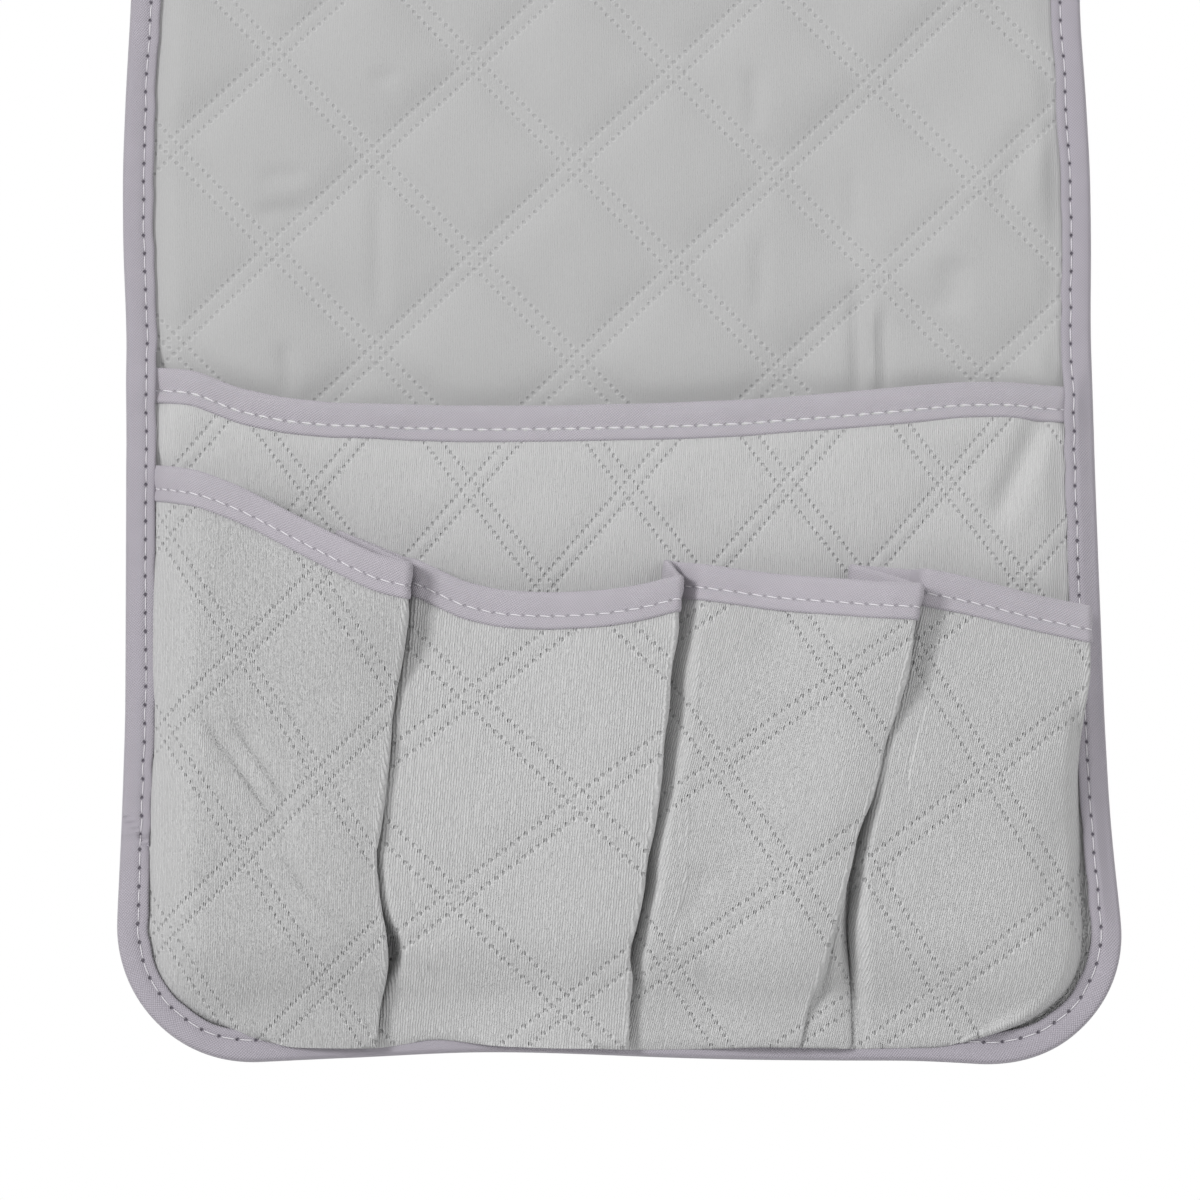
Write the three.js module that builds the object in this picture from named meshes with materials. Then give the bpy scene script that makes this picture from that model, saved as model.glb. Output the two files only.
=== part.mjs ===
// A quilted cloth organizer that hangs over the arm of a sofa, with one wide pocket and four pleated pockets.
// Millimetres. X runs along the arm, -Y is the pocket side and Z is up. The origin is on top of the arm.
import * as THREE from "three";

const { clamp, lerp, smoothstep } = THREE.MathUtils;

// The whole cloth, laid flat
const clothWidth = 270;
const clothLength = 870;
const cornerRadius = 38;

// The arm that it hangs over, and how far the pocket end reaches down
const armWidth = 200;
const armEdgeRadius = 30;
const frontDrop = 350;

// Layers of the cloth
const liningThickness = 0.6;
const quiltThickness = 2.4;
const quiltPuff = 1.6;
const squeezedThickness = 1.2;
const squeezeRun = 4.5;
const diamondSize = 54.6;

// Tapes
const tapeThickness = 0.5;
const bindingWidth = 7.5;
const mouthTapeWidth = 9.4;

// Clearances
const layerGap = 0.3;
const bendGap = 0.4;
const pleatEase = 0.8;

// Wide pocket, with the height of its mouth at both sides and how far the mouth sags and bows out
const pocketThickness = 1.8;
const pocketPuff = 0.9;
const pocketSqueezed = 0.9;
const wideMouth = { left: 189, right: 185, sag: 9, skew: 0.8 };
const wideBow = 6;
const wideBowRise = 70;

// Four pockets from left to right, each with the heights and the sag of its mouth, its depth, and
// the run in which its left side rises to that depth. Width is at the mouth. The right fold leans in at its
// foot. The next pocket starts behind that fold, further in by the tuck, along a seam with its own lean.
const pockets = [
  { left: 163, right: 133.4, sag: -2.6, skew: 0.62, depth: 8.5, shoulder: 14 },
  { left: 142, right: 130.5, sag: 10.5, skew: 1.1, depth: 9.5, shoulder: 18 },
  { left: 134.5, right: 127.6, sag: 0.6, skew: 1, depth: 8.5, shoulder: 14 },
  { left: 133.6, right: 122.2, sag: -2, skew: 1, depth: 9.5, shoulder: 20 },
];
const folds = [
  { width: 70.6, lean: 8.5, tuck: 19.5, seamLean: 0 },
  { width: 73.6, lean: 13.5, tuck: 2.6, seamLean: 13.5 },
  { width: 66, lean: 32, tuck: 18.5, seamLean: 0 },
];
const lastOverhang = 4;
const pleatThickness = 1.2;
const hemHeight = 2.6;
const footDepth = 0.8;
const footRise = 24;

// Sizes that follow from these
const halfWidth = clothWidth / 2;
const bendLength = (armEdgeRadius + (liningThickness + layerGap + quiltThickness) / 2) * Math.PI / 2;
const topFlat = armWidth - 2 * armEdgeRadius;
const frontStraight = frontDrop - armEdgeRadius;
const tailStraight = clothLength - frontStraight - topFlat - 2 * bendLength;
const tapeRoom = layerGap + tapeThickness;
const squeezeStart = bindingWidth + layerGap;
const squeezeEnd = squeezeStart + squeezeRun;
const quiltStep = diamondSize / 4;
const liningSqueezed = tapeRoom;
const quiltFace = liningThickness + layerGap + quiltThickness;
const quiltFaceSqueezed = liningSqueezed + liningThickness + layerGap + squeezedThickness;
const hemFoot = squeezeStart + layerGap;
const stripFoot = hemFoot + hemHeight + layerGap;
const stripInset = squeezeStart + layerGap;
const footRoom = pocketThickness + pleatThickness + 2 * pleatEase + layerGap;
const overlapRoom = footRoom + 4 * tapeRoom;
const front = { side: -1, straight: frontStraight };
const tail = { side: 1, straight: tailStraight };
const bendCut = (end) => end.straight + bendLength / 2;
const topMiddle = (end) => end.straight + bendLength + topFlat / 2;

// A cloth point is x across, t along from the lower edge of its end, and o outward from the arm.
const point = (end, x, t, o) => ({ end, x, t, o });

function draped({ end, x, t, o }) {
  const past = t - end.straight;
  const turn = clamp(past / bendLength, 0, 1) * Math.PI / 2;
  const radius = armEdgeRadius + o;
  const y = armWidth / 2 - armEdgeRadius + radius * Math.cos(turn) - Math.max(past - bendLength, 0);
  const z = -armEdgeRadius + radius * Math.sin(turn) + Math.min(past, 0);
  return new THREE.Vector3(x, end.side * y, z);
}

// Outline of an end: half its width at t, at an inset from the edge, and how far a place is from the edge
function edgeAt(t, inset) {
  const below = Math.max(cornerRadius - t, 0);
  const radius = cornerRadius - inset;
  return halfWidth - cornerRadius + Math.sqrt(Math.max(radius * radius - below * below, 0));
}

function insetAt(x, t) {
  const beyond = Math.abs(x) - (halfWidth - cornerRadius);
  const below = cornerRadius - t;
  if (beyond > 0 && below > 0) return cornerRadius - Math.hypot(beyond, below);
  return Math.min(halfWidth - Math.abs(x), t);
}

const swell = (x, t) => smoothstep(insetAt(x, t), squeezeStart, squeezeEnd);

// Pillow between the weld lines of the quilting: 0 on a line, 1 in the middle of a diamond
function pillow(across, along) {
  const a = (across + along) / diamondSize;
  const b = (across - along) / diamondSize;
  const nearest = Math.min(Math.abs(a - Math.round(a)), Math.abs(b - Math.round(b)));
  return Math.sin(nearest * Math.PI);
}

// Surfaces, as heights outward from the arm
const liningBackAt = (x, t) => lerp(liningSqueezed, 0, swell(x, t));
const liningFrontAt = (x, t) => liningBackAt(x, t) + liningThickness;
const quiltBackAt = (x, t) => liningFrontAt(x, t) + layerGap;

function mouthAt(mouth, u) {
  const hang = Math.sin(Math.PI * Math.pow(clamp(u, 0, 1), mouth.skew));
  return lerp(mouth.left, mouth.right, u) - mouth.sag * hang;
}

const wideMouthAt = (x) => mouthAt(wideMouth, (x + halfWidth) / clothWidth);

function quiltFrontAt(end, x, t) {
  const covered = wideMouthAt(x) + layerGap;
  const bare = end === front ? smoothstep(t, covered, covered + mouthTapeWidth) : 1;
  const raised = quiltFace + quiltPuff * bare * pillow(x, topMiddle(end) - t);
  return lerp(quiltFaceSqueezed, raised, swell(x, t));
}

function wideBackAt(x, t) {
  const across = clamp(Math.abs(x) / (halfWidth - squeezeStart), 0, 1);
  const bow = (1 - Math.pow(across, 4)) * smoothstep(t, squeezeStart, wideBowRise);
  return quiltFace + layerGap + tapeRoom + wideBow * bow;
}

const wideFrontAt = (x, t) => wideBackAt(x, t) + lerp(pocketSqueezed, pocketThickness, swell(x, t));
const wideTopAt = (x, t) => wideBackAt(x, t) + pocketThickness + pocketPuff;

function widePuffAt(x, t) {
  const underTape = wideMouthAt(x) - mouthTapeWidth;
  return pocketPuff * smoothstep(underTape - t, 0, mouthTapeWidth) * swell(x, t) * pillow(x + quiltStep, t);
}

// Edges and surfaces of the four pockets
const leanAt = (mouth, t) => Math.pow(clamp(1 - t / mouth, 0, 1), 1.1);

pockets.forEach((pocket, n) => {
  const before = folds[n - 1];
  const fold = folds[n];
  if (fold) fold.top = (before ? before.top : stripInset - halfWidth) + fold.width;
  pocket.leftAt = (t) => before
    ? before.top - before.tuck - before.seamLean * leanAt(pockets[n - 1].right, t)
    : -edgeAt(t, stripInset);
  pocket.foldAt = (t) => fold
    ? fold.top - fold.lean * leanAt(pocket.right, t)
    : edgeAt(t, stripInset) + lastOverhang * smoothstep(t, cornerRadius, 2 * cornerRadius);
  pocket.bareFrom = (t) => before ? pockets[n - 1].foldAt(t) : pocket.leftAt(t);
  const next = pockets[n + 1];
  const overNext = next ? next.depth * smoothstep(fold.tuck, 0, next.shoulder) + overlapRoom : 0;
  const foldDepth = Math.max(pocket.depth, overNext);
  pocket.backAt = (x, t) => {
    const left = pocket.leftAt(t);
    const up = Math.sin(clamp((t - stripFoot) / footRise, 0, 1) * Math.PI / 2);
    const inner = lerp(footDepth, pocket.depth, up) * smoothstep(x - left, 0, pocket.shoulder);
    const outer = lerp(footDepth + footRoom, foldDepth, up);
    const share = smoothstep((x - left) / (pocket.foldAt(t) - left), 0.35, 0.9);
    return wideTopAt(x, t) + layerGap + tapeRoom + lerp(inner, outer, share);
  };
  pocket.frontAt = (x, t) => pocket.backAt(x, t) + pocketThickness;
  pocket.place = (u, t) => lerp(pocket.leftAt(t), pocket.foldAt(t), u);
  pocket.puffAt = (u, x, t) => {
    const fromTape = mouthAt(pocket, u) - mouthTapeWidth - t;
    const fromEdge = Math.min(x - pocket.bareFrom(t), pocket.foldAt(t) - x);
    const calm = smoothstep(fromTape, 0, 6) * smoothstep(fromEdge, 0, 8) * smoothstep(t - stripFoot, 0, 8);
    return pocketPuff * calm * pillow(x + n * quiltStep, t);
  };
});

// A solid lofted through rings. A ring runs along its outer line and back along its inner line.
function loft(rings) {
  const loops = rings.map((ring) => [...ring.outer, ...ring.inner.toReversed()]);
  const count = loops[0].length;
  const places = loops.flat().map(draped);
  const faces = [];
  for (let i = 0; i + 1 < loops.length; i++) {
    for (let j = 0; j < count; j++) {
      const k = (j + 1) % count;
      const [a, b, c, d] = [i * count + j, i * count + k, (i + 1) * count + k, (i + 1) * count + j];
      const creased = loops[i][j].o + loops[i + 1][k].o <= loops[i][k].o + loops[i + 1][j].o;
      faces.push(...(creased ? [[a, b, c], [a, c, d]] : [[a, b, d], [b, c, d]]));
    }
  }
  const final = (loops.length - 1) * count;
  faces.push(...capFaces(rings[0], 0).map(([a, b, c]) => [a, c, b]));
  faces.push(...capFaces(rings.at(-1), final));
  const share = ([a, b, c]) => places[a].dot(places[b].clone().cross(places[c]));
  const volume = faces.reduce((sum, face) => sum + share(face), 0);
  const outward = volume > 0 ? faces : faces.map(([a, b, c]) => [a, c, b]);
  const geometry = new THREE.BufferGeometry().setFromPoints(places);
  geometry.setIndex(outward.flat());
  geometry.computeVertexNormals();
  return geometry;
}

// Faces that close the end of a loft, laced between the outer and the inner line of the ring
function capFaces(ring, first) {
  const shares = [ring.outer, ring.inner].map((line) => {
    const spots = line.map(draped);
    const run = [0];
    for (let i = 1; i < spots.length; i++) run.push(run[i - 1] + spots[i].distanceTo(spots[i - 1]));
    return run.map((length) => length / run.at(-1));
  });
  const outer = (i) => first + i;
  const inner = (j) => first + ring.outer.length + ring.inner.length - 1 - j;
  const faces = [];
  let i = 0;
  let j = 0;
  while (i + 1 < ring.outer.length || j + 1 < ring.inner.length) {
    if ((shares[0][i + 1] ?? 2) <= (shares[1][j + 1] ?? 2)) {
      faces.push([outer(i), outer(i + 1), inner(j)]);
      i += 1;
    } else {
      faces.push([outer(i), inner(j + 1), inner(j)]);
      j += 1;
    }
  }
  return faces;
}

// Cloths, and the group of named pieces
const faceCloth = { color: 0xbdbdbd, roughness: 0.85, metalness: 0 };
const tapeCloth = { color: 0xaaa4b0, roughness: 0.6, metalness: 0 };
const liningCloth = { color: 0x8f9095, roughness: 0.9, metalness: 0 };
const organizer = new THREE.Group();
organizer.name = "armrest_organizer";

function addPiece(name, cloth, rings) {
  const piece = new THREE.Mesh(loft(rings), new THREE.MeshStandardMaterial(cloth));
  piece.name = name;
  organizer.add(piece);
}

// Columns across the cloth at a height t: the edge, both sides of the squeeze, and the quilting's own steps
function edgeColumns(t) {
  const low = Math.max(1 - t / squeezeEnd, 0);
  const insets = [0, Math.min(squeezeStart, 0.6 * t), Math.min(squeezeEnd, 0.8 * t)];
  return insets.map((inset, i) => edgeAt(t, inset) - 3 * i * low);
}

function sparseColumns(t) {
  const right = edgeColumns(t);
  return [...right.map((x) => -x), ...right.toReversed()];
}

function quiltColumns(t) {
  const right = edgeColumns(t);
  const most = Math.floor((halfWidth - squeezeEnd) / quiltStep - 0.3);
  const stretch = right[2] / (halfWidth - squeezeEnd);
  const middle = Array.from({ length: 2 * most + 1 }, (_, i) => (i - most) * quiltStep * stretch);
  return [...right.map((x) => -x), ...middle, ...right.toReversed()];
}

// Rows along an end: round corners, quilting steps, and half steps round the bend
const cornerRows = Array.from({ length: 7 }, (_, i) => cornerRadius * (1 - Math.cos(i * Math.PI / 12)));
const lowRows = [...cornerRows, squeezeStart, squeezeEnd].sort((a, b) => a - b);

function rowsOf(end, bareFrom) {
  const rows = [...lowRows];
  const steps = Math.floor((topMiddle(end) - cornerRadius) / (quiltStep / 2));
  for (let k = steps; k >= 0; k--) {
    const t = topMiddle(end) - k * quiltStep / 2;
    const every = t < bareFrom - quiltStep ? 6 : t < end.straight ? 2 : 1;
    const between = t > cornerRadius + quiltStep / 4 && t < bendCut(end) - quiltStep / 6;
    if (k % every === 0 && between) rows.push(t);
  }
  return [...rows, bendCut(end) - bendGap / 2];
}

const quiltRing = (end, t) => ({
  outer: quiltColumns(t).map((x) => point(end, x, t, quiltFrontAt(end, x, t))),
  inner: sparseColumns(t).map((x) => point(end, x, t, quiltBackAt(x, t))),
});

const liningRing = (end, t) => ({
  outer: sparseColumns(t).map((x) => point(end, x, t, liningFrontAt(x, t))),
  inner: sparseColumns(t).map((x) => point(end, x, t, liningBackAt(x, t))),
});

const frontRows = rowsOf(front, wideMouth.right);
const tailRows = rowsOf(tail, 0);
const flatRows = (end, rows) => rows.filter((t) => t <= cornerRadius || t > end.straight - quiltStep);
addPiece("front_quilt", faceCloth, frontRows.map((t) => quiltRing(front, t)));
addPiece("front_lining", liningCloth, flatRows(front, frontRows).map((t) => liningRing(front, t)));
addPiece("tail_quilt", faceCloth, tailRows.map((t) => quiltRing(tail, t)));
addPiece("tail_lining", liningCloth, flatRows(tail, tailRows).map((t) => liningRing(tail, t)));

// Top of the arm, from the middle of one bend to the middle of the other
function saddleStations() {
  const half = (end) => {
    const rows = [bendCut(end) + bendGap / 2];
    for (let k = Math.ceil(topFlat / quiltStep) + 8; k > 0; k--) {
      const t = topMiddle(end) - k * quiltStep / 2;
      const bent = t < end.straight + bendLength;
      if (t > rows[0] + quiltStep / 6 && (bent || k % 2 === 0)) rows.push(t);
    }
    return rows.map((t) => ({ end, t }));
  };
  return [...half(front), { end: front, t: topMiddle(front) }, ...half(tail).toReversed()];
}

const saddleRows = saddleStations();
addPiece("saddle_quilt", faceCloth, saddleRows.map(({ end, t }) => quiltRing(end, t)));
addPiece("saddle_lining", liningCloth, saddleRows.map(({ end, t }) => liningRing(end, t)));

// Folded tape: a U round an edge, given as distances from the edge and heights of the cloth that it holds
function foldedTape(width, faceLow, faceHigh, backHigh, backLow) {
  return {
    outer: [
      [width, faceLow + tapeRoom],
      [-layerGap, faceHigh + tapeRoom],
      [-tapeRoom, faceHigh],
      [-tapeRoom, backHigh],
      [-layerGap, backHigh - tapeRoom],
      [width, backLow - tapeRoom],
    ],
    inner: [
      [width, faceLow + layerGap],
      [-layerGap, faceHigh + layerGap],
      [-layerGap, backHigh - layerGap],
      [width, backLow - layerGap],
    ],
  };
}

function tapeRing(profile, placed) {
  return { outer: profile.outer.map(placed), inner: profile.inner.map(placed) };
}

// Binding along the two sides, the round corners and the lower edge
const bindingProfile = (face) => foldedTape(bindingWidth, face, face, liningSqueezed, liningSqueezed);

function bindingFaceAt(end, side, t) {
  if (end !== front) return quiltFaceSqueezed;
  const mouth = (side < 0 ? wideMouth.left : wideMouth.right) + tapeRoom;
  const pocketEdge = quiltFace + layerGap + tapeRoom + pocketSqueezed;
  return lerp(pocketEdge, quiltFaceSqueezed, smoothstep(t, mouth, mouth + mouthTapeWidth));
}

function sideRing(end, side, t) {
  const profile = bindingProfile(bindingFaceAt(end, side, t));
  return tapeRing(profile, ([inset, o]) => point(end, side * (halfWidth - inset), t, o));
}

function cornerRing(end, side, angle) {
  const profile = bindingProfile(bindingFaceAt(end, side, 0));
  return tapeRing(profile, ([inset, o]) => {
    const radius = cornerRadius - inset;
    const x = side * (halfWidth - cornerRadius + radius * Math.cos(angle));
    return point(end, x, cornerRadius - radius * Math.sin(angle), o);
  });
}

function bindingRings(end, rows) {
  const straight = flatRows(end, rows).filter((t) => t > cornerRadius);
  const steps = end === front ? [wideMouth.left, wideMouth.right] : [];
  const rise = [0, 0.35, 0.65, 1].map((k) => tapeRoom + k * mouthTapeWidth);
  const mouthRows = steps.flatMap((mouth) => rise.map((above) => mouth + above));
  const sideRows = [...straight, ...mouthRows, rows.at(-1)].sort((a, b) => b - a);
  const apart = sideRows.filter((t, i) => i === 0 || sideRows[i - 1] - t > 0.4);
  const turns = lowRows.toReversed().map((t) => Math.asin(1 - t / cornerRadius));
  return [
    ...apart.map((t) => sideRing(end, -1, t)),
    ...turns.map((angle) => cornerRing(end, -1, angle)),
    ...turns.toReversed().map((angle) => cornerRing(end, 1, angle)),
    ...apart.toReversed().map((t) => sideRing(end, 1, t)),
  ];
}

addPiece("front_binding", tapeCloth, bindingRings(front, frontRows));
addPiece("tail_binding", tapeCloth, bindingRings(tail, tailRows));
for (const [name, side] of [["left", -1], ["right", 1]]) {
  const rings = saddleRows.map(({ end, t }) => sideRing(end, side, t));
  addPiece(`saddle_binding_${name}`, tapeCloth, rings);
}

// Wide pocket, sewn in under the binding at both sides and below
const wideShares = [0.15, 0.32, 0.5, 0.65, 0.76, 0.86, 0.93, 1];

function wideRing(heightAt) {
  const along = (columns) => columns(clothLength).map((nominal, i) => {
    const t = heightAt(nominal);
    return [columns(t)[i], t];
  });
  return {
    outer: along(quiltColumns).map(([x, t]) => point(front, x, t, wideFrontAt(x, t) + widePuffAt(x, t))),
    inner: along(quiltColumns).map(([x, t]) => point(front, x, t, wideBackAt(x, t))),
  };
}

addPiece("wide_pocket_quilt", faceCloth, [
  ...lowRows.map((t) => wideRing(() => t)),
  ...wideShares.map((share) => wideRing((x) => lerp(cornerRadius, wideMouthAt(x), share))),
]);

// Tape over a mouth, at one place across it
function mouthRing(mouth, placeAt, faceAt, backAt) {
  const low = mouth - mouthTapeWidth;
  const profile = foldedTape(
    mouthTapeWidth,
    faceAt(placeAt(low), low),
    faceAt(placeAt(mouth), mouth),
    backAt(placeAt(mouth), mouth),
    backAt(placeAt(low), low),
  );
  return tapeRing(profile, ([inset, o]) => point(front, placeAt(mouth - inset), mouth - inset, o));
}

const wideTapeColumns = quiltColumns(clothLength).slice(1, -1);
wideTapeColumns[0] -= layerGap / 2;
wideTapeColumns[wideTapeColumns.length - 1] += layerGap / 2;
addPiece("wide_pocket_tape", tapeCloth, wideTapeColumns.map((x) => (
  mouthRing(wideMouthAt(x), () => x, wideFrontAt, wideBackAt)
)));

// The four pockets
const shares = (steps) => Array.from({ length: steps + 1 }, (_, i) => i / steps);

function pocketColumns(pocket) {
  const rising = pocket.shoulder / (pocket.foldAt(pocket.right) - pocket.leftAt(pocket.right));
  const beyond = shares(5).slice(1).map((k) => lerp(rising, 1, k));
  return [...shares(4).map((k) => k * rising), ...beyond];
}

function pocketFrontRings(pocket, rows) {
  return shares(rows).map((v) => {
    const places = pocketColumns(pocket).map((u) => {
      const t = lerp(stripFoot, mouthAt(pocket, u), v);
      return [u, pocket.place(u, t), t];
    });
    return {
      outer: places.map(([u, x, t]) => point(front, x, t, pocket.frontAt(x, t) + pocket.puffAt(u, x, t))),
      inner: places.map(([, x, t]) => point(front, x, t, pocket.backAt(x, t))),
    };
  });
}

// A pleat runs from behind the fold of its pocket back to where the next pocket starts.
const pleatSteps = [0, 0.2, 0.4, 0.6, 0.8, 1];

function pleatLine(pocket, next, t) {
  const half = pleatThickness / 2;
  const fold = pocket.foldAt(t);
  const seam = next ? next.leftAt(t) : fold;
  const outerX = fold - 2 * half;
  const innerX = Math.min(seam + 2.5, fold - 3 * half);
  const taped = tapeRoom * (1 - smoothstep(pocket.right - t, 1.5 * mouthTapeWidth, 3 * mouthTapeWidth));
  return pleatSteps.map((k) => {
    const x = lerp(outerX, innerX, k);
    const bare = wideTopAt(x, t) + layerGap;
    const onNext = next ? next.frontAt(Math.max(x, seam), t) + pleatEase + taped : bare;
    const covered = next ? smoothstep(x, seam - 4.5, seam - 1.2) : 0;
    const lowest = lerp(bare, onNext, covered) + half + taped;
    const highest = pocket.backAt(x, t) - (next ? pleatEase : layerGap) - half - 2 * taped;
    return new THREE.Vector2(x, lerp(highest, lowest, k));
  });
}

function pleatSide(pocket, next, t, spread) {
  const line = pleatLine(pocket, next, t);
  return line.map((spot, i) => {
    const ahead = line[Math.min(i + 1, line.length - 1)];
    const run = ahead.clone().sub(line[Math.max(i - 1, 0)]).normalize();
    return [spot.x - run.y * spread, spot.y + run.x * spread];
  });
}

function pleatRing(pocket, next, t) {
  const side = (spread) => pleatSide(pocket, next, t, spread).map(([x, o]) => point(front, x, t, o));
  return { outer: side(pleatThickness / 2), inner: side(-pleatThickness / 2) };
}

function pleatTapeRings(pocket, next, mouth) {
  const half = pleatThickness / 2;
  const [outside, inside] = [half + tapeRoom, half + layerGap];
  const [top, over, low] = [mouth + tapeRoom, mouth + layerGap, mouth - mouthTapeWidth];
  return pleatSteps.map((_, k) => {
    const at = (spread, t) => {
      const [x, o] = pleatSide(pocket, next, Math.min(t, mouth), spread)[k];
      return point(front, x, t, o);
    };
    return {
      outer: [
        at(outside, low),
        at(outside, over),
        at(half, top),
        at(-half, top),
        at(-outside, over),
        at(-outside, low),
      ],
      inner: [at(inside, low), at(inside, over), at(-inside, over), at(-inside, low)],
    };
  });
}

pockets.forEach((pocket, n) => {
  const name = `pocket_${n + 1}`;
  const next = pockets[n + 1];
  const mouth = pocket.right;
  const pleatRows = shares(8).map((v) => lerp(stripFoot, mouth, v));
  addPiece(`${name}_front`, faceCloth, pocketFrontRings(pocket, 12));
  addPiece(`${name}_tape`, tapeCloth, pocketColumns(pocket).map((u) => (
    mouthRing(mouthAt(pocket, u), (t) => pocket.place(u, t), pocket.frontAt, pocket.backAt)
  )));
  addPiece(`${name}_pleat`, faceCloth, pleatRows.map((t) => pleatRing(pocket, next, t)));
  addPiece(`${name}_pleat_tape`, tapeCloth, pleatTapeRings(pocket, next, mouth));
});

// Hem that closes the four pockets along the foot
function hemRing(x) {
  const over = pockets.filter((pocket) => x >= pocket.leftAt(stripFoot) && x <= pocket.foldAt(stripFoot));
  const back = wideTopAt(x, stripFoot) + layerGap;
  const levels = over.map((pocket) => pocket.frontAt(x, stripFoot));
  const face = Math.max(back + pocketThickness, ...levels);
  const top = stripFoot - layerGap;
  return {
    outer: [point(front, x, hemFoot, face), point(front, x, top, face)],
    inner: [point(front, x, hemFoot, back), point(front, x, top, back)],
  };
}

const hemReach = halfWidth - cornerRadius;
addPiece("strip_hem", faceCloth, shares(24).map((k) => hemRing(lerp(-hemReach, hemReach, k))));

export default organizer;
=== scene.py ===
import bpy
import bmesh
import math
from functools import partial
import numpy as np
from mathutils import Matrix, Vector


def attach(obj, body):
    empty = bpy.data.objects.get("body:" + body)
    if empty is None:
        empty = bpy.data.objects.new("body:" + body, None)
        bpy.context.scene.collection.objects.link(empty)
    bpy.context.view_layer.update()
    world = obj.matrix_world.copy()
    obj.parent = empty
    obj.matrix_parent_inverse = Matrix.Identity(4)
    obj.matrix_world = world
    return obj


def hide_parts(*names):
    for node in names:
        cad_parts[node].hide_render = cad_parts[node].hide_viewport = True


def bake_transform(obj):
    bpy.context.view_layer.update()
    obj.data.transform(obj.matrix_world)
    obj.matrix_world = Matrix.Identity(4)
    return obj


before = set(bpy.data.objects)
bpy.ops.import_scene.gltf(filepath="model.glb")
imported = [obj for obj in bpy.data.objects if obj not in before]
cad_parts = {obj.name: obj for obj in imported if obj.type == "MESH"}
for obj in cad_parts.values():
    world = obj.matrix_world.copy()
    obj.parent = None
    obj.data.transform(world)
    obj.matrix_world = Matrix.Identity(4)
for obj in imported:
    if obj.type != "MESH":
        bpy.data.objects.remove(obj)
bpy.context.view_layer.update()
print("frame loaded,", len(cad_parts), "nodes")


# small helpers
def ease(a, low, high):  # 0 before low, 1 after high, smooth between
    k = np.clip((a - low) / (high - low), 0, 1)
    return k * k * (3 - 2 * k)


def mix(a, b, k):
    return a + (b - a) * k


def hump(away, width):  # 1 in the middle, fading out on both sides
    return np.exp(-(away / width) ** 2)


def softCurve(points, spread, margin=30, count=600):  # smooth curve through a few measured points
    at, value = np.array(sorted(points)).T
    fine = np.linspace(at[0] - margin, at[-1] + margin, count)
    start = (value[1] - value[0]) / (at[1] - at[0])
    stop = (value[-1] - value[-2]) / (at[-1] - at[-2])
    line = np.interp(fine, at, value)
    line = np.where(fine < at[0], value[0] + start * (fine - at[0]), line)
    line = np.where(fine > at[-1], value[-1] + stop * (fine - at[-1]), line)
    width = max(int(spread / (fine[1] - fine[0])), 1)
    kernel = np.hanning(2 * width + 3)
    padded = np.pad(line, width + 1, mode="edge")
    line = np.convolve(padded, kernel / kernel.sum(), mode="valid")
    return lambda a: np.interp(a, fine, line)


def softNoise(a, b, cell, seed, size=96, start=40):  # gentle rolling unevenness, -1 to 1
    grid = np.random.default_rng(seed).uniform(-1, 1, (size, size))
    a, b = a / cell + start, b / cell + start
    i, j = np.floor(a).astype(int), np.floor(b).astype(int)
    u, v = ease(a - i, 0, 1), ease(b - j, 0, 1)
    at = lambda m, n: grid[(i + m) % size, (j + n) % size]
    return mix(mix(at(0, 0), at(1, 0), u), mix(at(0, 1), at(1, 1), u), v)


def rolling(a, b, waves):  # unevenness of several sizes: height, cell and seed of each
    return sum(height * softNoise(a, b, cell, seed) for height, cell, seed in waves)


def runAlong(path):  # distance along a row of points
    return np.concatenate([[0], np.cumsum(np.linalg.norm(np.diff(path, axis=0), axis=1))])


def linearColour(hexText):  # sRGB hex to linear, opaque
    parts = [int(hexText[i:i + 2], 16) / 255 for i in (0, 2, 4)]
    return [c / 12.92 if c <= 0.04045 else ((c + 0.055) / 1.055) ** 2.4 for c in parts] + [1.0]


def addNode(tree, kind, feeds={}, **settings):  # a node among the feeds gives its first output
    made = tree.nodes.new("ShaderNode" + kind)
    for name, value in settings.items():
        setattr(made, name, value)
    for socket, value in feeds.items():
        if isinstance(value, bpy.types.Node):
            value = value.outputs[0]
        if isinstance(value, bpy.types.NodeSocket):
            tree.links.new(value, made.inputs[socket])
        else:
            made.inputs[socket].default_value = value
    return made


def emptyTree(holder):  # clears the nodes of a material or world, and gives what adds a node there
    holder.use_nodes = True
    holder.node_tree.nodes.clear()
    return partial(addNode, holder.node_tree)


def addPiece(name, spots, faces, uv, material, sharpAngle=75):
    mesh = bpy.data.meshes.new(name)
    mesh.from_pydata(np.asarray(spots).reshape(-1, 3).tolist(), [], faces)
    work = bmesh.new()
    work.from_mesh(mesh)
    bmesh.ops.recalc_face_normals(work, faces=work.faces)
    work.to_mesh(mesh)
    work.free()
    layer = mesh.uv_layers.new(name="cloth")
    corners = np.empty(len(mesh.loops), dtype=np.int32)
    mesh.loops.foreach_get("vertex_index", corners)
    layer.data.foreach_set("uv", np.asarray(uv, dtype=np.float32).reshape(-1, 2)[corners].ravel())
    mesh.shade_smooth()
    mesh.set_sharp_from_angle(angle=math.radians(sharpAngle))  # a cut edge stays crisp
    mesh.materials.append(material)
    piece = bpy.data.objects.new(name, mesh)
    bpy.context.scene.collection.objects.link(piece)
    return piece


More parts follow.
